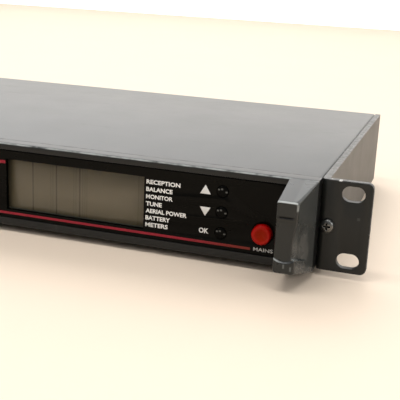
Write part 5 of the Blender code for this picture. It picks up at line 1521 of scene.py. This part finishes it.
# %% Rear panel
rear_low, rear_high = span("rear_panel")
AERIALS = ("a", "b")
BARREL = 4.8 * MM
BALANCED_BORE = 9.4 * MM
BALANCED_BARREL = 11.7 * MM
JACK_BORE = 3.25 * MM
JACK_NOSE = 4.7 * MM
inlet_low, inlet_high = span("mains_inlet")
INLET_MARGIN = 1.2 * MM
panel_rim = face_outline(rear_low, rear_high, 0.4 * MM)
panel_holes = [hole_at(f"aerial_socket_{label}", BARREL + PLAY) for label in AERIALS]
panel_holes.append(hole_at("balanced_shell", BALANCED_BARREL + PLAY))
panel_holes.append(hole_at("line_jack", JACK_NOSE + PLAY))
panel_holes += [hole_at(f"cover_screw_{place}", COVER_SCREW_HOLE) for place in COVER_SCREWS]
panel_holes.append(face_outline(inlet_low, inlet_high, 0.5 * MM, INLET_MARGIN - PLAY))
panel = plate([panel_rim, *panel_holes], rear_low[1], rear_high[1], edge=0.12 * MM)
make_piece("rear_panel_sheet", [panel], CASE_PAINT, "case_paint", "rear_panel")

# %% [markdown]
# ## Names on the rear panel
# Each socket has its name beside it. Letters face the front when they are made, so
# they are turned half round: X runs the other way, or they would read mirrored.

# %% Words on the rear panel
REAR_WORDS = (
    ("AERIAL B", "aerial_socket_b", 9.6), ("MAINS INPUT", "mains_inlet", 0), ("LINE", "line_jack", 9.6),
    ("BALANCED", "balanced_shell", 0), ("AERIAL A", "aerial_socket_a", 9.6),
)
REAR_HEIGHT = 2.6 * MM


def rear_word(words, node, rise):
    """Words centred on a socket in X and turned half round, so that they read from behind.

    With a rise they stand over the socket's middle, and without one beside its right edge.
    """
    low, middle = span(node)[0], centre_of(node)
    points, faces = lettering(words, 0.0, 0.0, REAR_HEIGHT, 0.0, INK, 0.02)
    half = np.ptp(points[:, 0]) / 2
    x = middle[0] - (points[:, 0] - half)
    z = np.full(len(points), middle[2]) + points[:, 2]
    if rise:
        z += rise * MM
    else:
        x -= half + (middle[0] - low[0]) + 3.0 * MM
    return np.stack([x, rear_high[1] - points[:, 1], z], -1), faces


rear_words = [rear_word(*entry) for entry in REAR_WORDS]
make_piece("rear_words", rear_words, WHITE_INK, "case_paint")

# %% [markdown]
# ## Aerial sockets and nuts
# A bayonet aerial socket is turned from brass and nickel plated: a threaded barrel
# with two lugs, a white insulator inside it and a pin hole in the middle. The nut
# is a hexagon whose corners are turned away by a cone, which is what gives a nut
# its curved bright edges: each corner stands back by its distance outside a circle.

# %% Turned barrels and hexagon nuts
def barrel(node):
    """A collar, a barrel with fine thread ridges, a bore with its post, and two lugs."""
    low, high = span(node)
    centre_x, _, centre_z = centre_of(node)
    panel_back = rear_high[1]
    tip = high[1]
    collar = (low[1], rear_low[1] - PLAY)
    thread = np.arange(panel_back + 0.4 * MM, tip - 6.2 * MM, 0.25 * MM)
    ridge = BARREL - 0.16 * MM * (np.arange(len(thread)) % 2)
    bore, post = BARREL - 0.75 * MM, 2.3 * MM
    start = [(collar[0], 0.0), (collar[0], 7.2 * MM), (collar[1], 7.2 * MM), (collar[1], BARREL)]
    middle = np.stack([thread, ridge], -1)
    end = [
        (tip - 5.6 * MM, BARREL), (tip - 0.3 * MM, BARREL), (tip, BARREL - 0.25 * MM),
        (tip, bore + 0.15 * MM),
        (tip - 0.2 * MM, bore), (tip - 5.5 * MM, bore), (tip - 5.5 * MM, post), (tip - 1.2 * MM, post),
        (tip - 0.9 * MM, post - 0.3 * MM), (tip - 0.9 * MM, 0.75 * MM), (tip - 4.0 * MM, 0.7 * MM),
        (tip - 4.0 * MM, 0.0),
    ]
    profile = np.concatenate([start, middle, end])
    centre = (centre_x, 0.0, centre_z)
    lugs = []
    for sign in (1, -1):
        reach = (BARREL + 0.9 * MM) * sign
        seat = (BARREL - 0.4 * MM) * sign
        lug = [(seat, 0.0), (seat, 1.0 * MM), (reach, 1.0 * MM), (reach, 0.0)]
        lug = eased(lug, 0.2 * MM, 3, closed=False)
        lugs.append(turned(lug + (centre_z, 0), (centre_x, tip - 3.3 * MM, 0.0), "Z", 24))
    return [turned(profile, centre), *lugs]


def hex_nut(node, bore):
    """A hexagon: at angle a its side is f / cos(a mod 60 - 30) from the axis, f half its width.

    Its rear face falls by 0.55 of how far a point is outside the circle of radius f.
    """
    low, high = span(node)
    centre = centre_of(node)
    flats = (high - low)[2] / 2
    a = np.linspace(0, 2 * np.pi, ROUND, endpoint=False)
    across = flats / np.cos(a % (np.pi / 3) - np.pi / 6)
    cone = flats * 0.985
    drop = 0.55 * np.maximum(across - cone, 0)
    rows = [
        (bore, low[1]), (across, low[1]), (across, high[1] - drop), (np.minimum(across, cone), high[1]),
        (bore + 0.2 * MM, high[1]), (bore, high[1] - 0.2 * MM),
    ]
    radius, level = (np.stack([np.broadcast_to(row[i], ROUND) for row in rows]) for i in (0, 1))
    flat = unit(a) * radius[..., None] + centre[[0, 2]]
    return grid(placed(flat, level, "Y"), round_rows=True, round_columns=True)


for label in AERIALS:
    name = f"aerial_socket_{label}"
    make_piece(f"aerial_barrel_{label}", barrel(name), NICKEL, "nickel", name)
    name = f"aerial_nut_{label}"
    make_piece(f"aerial_hexagon_{label}", [hex_nut(name, BARREL + PLAY)], NICKEL, "nickel", name)

# %% [markdown]
# ## The balanced output
# The balanced socket is a die-cast shell with a flange, and an insulating disc with
# three pins deep inside. A plug goes into it, so its bore stays open. The flange has
# holes and is a filled curve, and the rest is turned.

# %% Balanced socket
shell_low, shell_high = span("balanced_shell")
insert_low, insert_high = span("balanced_insert")
insert_centre = centre_of("balanced_insert")[[0, 2]]


def balanced_shell():
    """A flange with two screw holes, and the tube behind it."""
    centre = centre_of("balanced_shell")[[0, 2]]
    flange = 2.0 * MM
    rim = face_outline(shell_low, shell_high, 2.2 * MM)
    holes = [circle(centre, BALANCED_BORE)]
    for x, z in ((-1, 1), (1, -1)):
        holes.append(circle(centre + (x * 9.7 * MM, z * 12.4 * MM), 1.5 * MM, 32))
    face = plate([rim, *holes], shell_high[1] - flange, shell_high[1], edge=0.3 * MM)
    bore, outer = BALANCED_BORE, BALANCED_BARREL
    front, back = shell_low[1], shell_high[1] - 0.5 * MM
    tube = np.array([(front, bore), (front, outer), (back, outer), (back, bore)])
    wall = turned(np.concatenate([tube, tube[:1]]), (centre[0], 0.0, centre[1]), steps=96)
    return [face, wall]


def balanced_insert():
    """The insulating disc at the foot of the bore."""
    disc_back = insert_low[1] + 3.0 * MM
    radius = BALANCED_BORE - PLAY
    disc = [(insert_low[1], 0.0), (insert_low[1], radius), (disc_back, radius), (disc_back, 0.0)]
    disc = eased(disc, 0.2 * MM, 3, closed=False)
    return [turned(disc, (insert_centre[0], 0.0, insert_centre[1]), steps=96)]


def balanced_pins():
    """Three pins with round ends, spaced evenly on a circle."""
    start, end = insert_low[1] + 2.0 * MM, insert_high[1]
    pins = []
    for angle in np.radians((90, 210, 330)):
        place = insert_centre + (BALANCED_BORE - 3.3 * MM) * unit(angle)
        pin = [(start, 0.0), (start, 1.2 * MM), (end, 1.2 * MM), (end, 0.0)]
        pin = eased(pin, [0, 0, 0.9 * MM, 0], 6, closed=False)
        pins.append(turned(pin, (place[0], 0.0, place[1]), steps=24))
    return pins


make_piece("balanced_casting", balanced_shell(), NICKEL, "nickel", "balanced_shell")
make_piece("balanced_disc", balanced_insert(), SOCKET_BLACK, "socket_black", "balanced_insert")
make_piece("balanced_pins", balanced_pins(), GOLD, "socket_black")

# %% [markdown]
# ## The jack
# The jack is a black body with a round nose through the panel, held by a nut like
# the aerials'. The nose is a tube: its profile goes up the outside and back down the
# bore.

# %% Jack socket
jack_low, jack_high = span("line_jack")
jack_middle = centre_of("line_jack")
jack_back = (jack_high[0], rear_low[1] - PLAY, jack_high[2])
jack_body = block(jack_low, jack_back, corner=0.8 * MM, edge=0.3 * MM)
nose_start, nose_end = rear_low[1] - 1.0 * MM, jack_high[1]
nose = eased(
    [(nose_start, JACK_BORE), (nose_start, JACK_NOSE), (nose_end, JACK_NOSE), (nose_end, JACK_BORE),
     (nose_start, JACK_BORE)],
    [0, 0, 0.4 * MM, 0.4 * MM, 0], 4, closed=False,
)
jack_nose = turned(nose, (jack_middle[0], 0.0, jack_middle[2]))
make_piece("jack_moulding", [jack_body, jack_nose], SOCKET_BLACK, "socket_black", "line_jack")
make_piece("jack_hexagon", [hex_nut("line_jack_nut", JACK_NOSE + PLAY)], NICKEL, "nickel", "line_jack_nut")

# %% [markdown]
# ## The mains inlet
# The inlet takes a detachable lead: a deep recess with two cut corners and three
# flat blades, and under it the drawer that holds the fuse. The body is one moulding
# with two pockets, so it is cut like the bracket and its rims are rounded after.

# %% Inlet and drawer
drawer_low, drawer_high = span("fuse_drawer")
RECESS_WIDTH = 24.4 * MM
RECESS_HEIGHT = 16.4 * MM
RECESS_DEPTH = 16.5 * MM
inlet_middle = centre_of("mains_inlet")
flange_front = rear_high[1] + PLAY
recess_top = inlet_high[2] - INLET_MARGIN - 1.5 * MM
recess_z = recess_top - RECESS_HEIGHT / 2


def inlet():
    """Flange and body joined as one outline carried in two steps, then the two pockets are cut."""
    body_low = inlet_low + (INLET_MARGIN, 0, INLET_MARGIN)
    body_high = inlet_high - (INLET_MARGIN, 0.4 * MM, INLET_MARGIN)
    body = block(body_low, body_high, corner=0.8 * MM, edge=0.0)
    half = np.array([RECESS_WIDTH, RECESS_HEIGHT]) / 2
    middle = np.array([inlet_middle[0], recess_z])
    cut_corner = 4.5 * MM
    x0, z0 = middle - half
    x1, z1 = middle + half
    outline = [
        (x0, z0), (x1, z0), (x1, z1 - cut_corner), (x1 - cut_corner, z1),
        (x0 + cut_corner, z1), (x0, z1 - cut_corner),
    ]
    pocket = eased(outline, 0.8 * MM, 4)
    drawer_hole = face_outline(drawer_low, drawer_high, 0.4 * MM, -0.4 * MM)
    rim = face_outline(inlet_low, inlet_high, 1.6 * MM)
    flange = plate([rim, pocket, drawer_hole], flange_front, inlet_high[1], edge=0.3 * MM)
    tools = [
        prism(pocket, inlet_high[1] - RECESS_DEPTH, inlet_high[1] + OVERCUT),
        prism(drawer_hole, inlet_high[1] - 20.4 * MM, inlet_high[1] + OVERCUT),
    ]
    return [flange, cut_and_round(body, tools, 0.15 * MM, 1)]


def blades():
    """Three flat blades with eased ends. The middle one, the earth, is set apart."""
    made = []
    for column, offset in ((-1, -2.0), (0, 2.0), (1, -2.0)):
        x = inlet_middle[0] + column * 7.0 * MM
        z = recess_z + offset * MM
        low = (x - 1.0 * MM, inlet_high[1] - RECESS_DEPTH - 1.0 * MM, z - 2.0 * MM)
        high = (x + 1.0 * MM, inlet_high[1] - 1.0 * MM, z + 2.0 * MM)
        made.append(block(low, high, corner=0.3 * MM, edge=0.45 * MM))
    return made


def drawer():
    """The drawer's box, its face, and a slot along the face's foot for a fingernail."""
    face_front = inlet_high[1] + 0.02 * MM
    box_high = (drawer_high[0], face_front, drawer_high[2])
    box = block(drawer_low, box_high, corner=0.3 * MM, edge=0.1 * MM)
    half = np.array([3.2, 0.5]) * MM
    slot_middle = np.array([centre_of("fuse_drawer")[0], drawer_low[2] + 1.3 * MM])
    slot = rounded_rectangle(slot_middle - half, slot_middle + half, 0.45 * MM)
    rim = face_outline(drawer_low, drawer_high, 0.5 * MM)
    face = plate([rim, slot], inlet_high[1] - 0.1 * MM, drawer_high[1], edge=0.2 * MM)
    return [box, face]


make_piece("inlet_moulding", inlet(), SOCKET_BLACK, "socket_black", "mains_inlet")
make_piece("inlet_blades", blades(), NICKEL, "nickel")
make_piece(
    "fuse_drawer_moulding", drawer(), SOCKET_BLACK, "socket_black", "fuse_drawer", body="fuse_carrier"
)

# %% [markdown]
# ## Floor, backdrop and light
# The unit stands on a pale floor in front of a bright wall. Black things are shown
# by what they reflect, and here that is the wall: it makes the top and every edge
# that faces it light. So the wall glows a little, more so higher up.

# %% Floor and backdrop
def stage_sheet(name, corners, finish):
    """One flat quad of the stage."""
    mesh = bpy.data.meshes.new(name)
    mesh.from_pydata(corners, [], [(0, 1, 2, 3)])
    mesh.materials.append(finish)
    made = bpy.data.objects.new(name, mesh)
    bpy.context.scene.collection.objects.link(made)


def floor_finish():
    finish = Finish("floor_finish")
    soft = finish.noise(6, 3)
    shade = finish.blend(soft, (0.78, 0.64, 0.5), (0.82, 0.68, 0.54))
    return finish.done(Base_Color=shade, Roughness=0.6 + 0.1 * soft)


def wall_finish():
    finish = Finish("wall_finish")
    soft = finish.noise(2, 2)
    shade = finish.blend(soft, (0.9, 0.9, 0.89), (0.94, 0.94, 0.93))
    high = finish.z.rise(0.2, 0.56)
    glow = finish.blend(high, (0.5, 0.5, 0.49), (1.0, 1.0, 0.99))
    return finish.done(Base_Color=shade, Roughness=0.8, Emission_Color=glow, Emission_Strength=1.46)


stage_sheet("floor", [(-4, -4, 0), (4, -4, 0), (4, 1.6, 0), (-4, 1.6, 0)], floor_finish())
stage_sheet("wall", [(-4, 1.6, 0), (4, 1.6, 0), (4, 1.6, 3), (-4, 1.6, 3)], wall_finish())

# %% [markdown]
# ## Lamps and sky
# A long lamp overhead draws a thin bright line along each front edge. A large one
# behind lights the floor, and two weaker ones in front and at the right keep the dark
# faces readable. The sky fills the shadows with a little cool light.

# %% Lamps and sky
def soft_lamp(name, place, aim, size, power):
    """A lamp of a width and a height at a place, turned so that it shines at its aim."""
    lamp = bpy.data.lights.new(name, "AREA")
    lamp.shape = "RECTANGLE"
    lamp.size, lamp.size_y = size
    lamp.energy = power
    made = bpy.data.objects.new(name, lamp)
    way = Matrix.Translation(aim).to_translation() - Matrix.Translation(place).to_translation()
    made.matrix_world = Matrix.Translation(place) @ way.to_track_quat("-Z", "Y").to_matrix().to_4x4()
    bpy.context.scene.collection.objects.link(made)


soft_lamp("back_lamp", (-0.5, 1.2, 1.5), (0, 0, 0), (1.5, 1.5), 13.0)
soft_lamp("top_lamp", (0.1, -0.5, 1.4), (0.15, -0.1, 0), (1.4, 0.26), 12.0)
soft_lamp("front_lamp", (-0.7, -1.5, 1.1), (0.1, 0, 0), (0.9, 0.9), 5.0)
soft_lamp("right_lamp", (1.5, -0.7, 0.7), (0.2, -0.1, 0), (0.6, 0.6), 7.5)
world = bpy.data.worlds.new("sky")
world.use_nodes = True
sky = world.node_tree.nodes["Background"].inputs
sky["Color"].default_value = (0.93, 0.96, 1.0, 1.0)
sky["Strength"].default_value = 0.32
bpy.context.scene.world = world
bpy.context.scene.view_settings.view_transform = "Standard"
print("stage: floor, wall, 4 lamps")
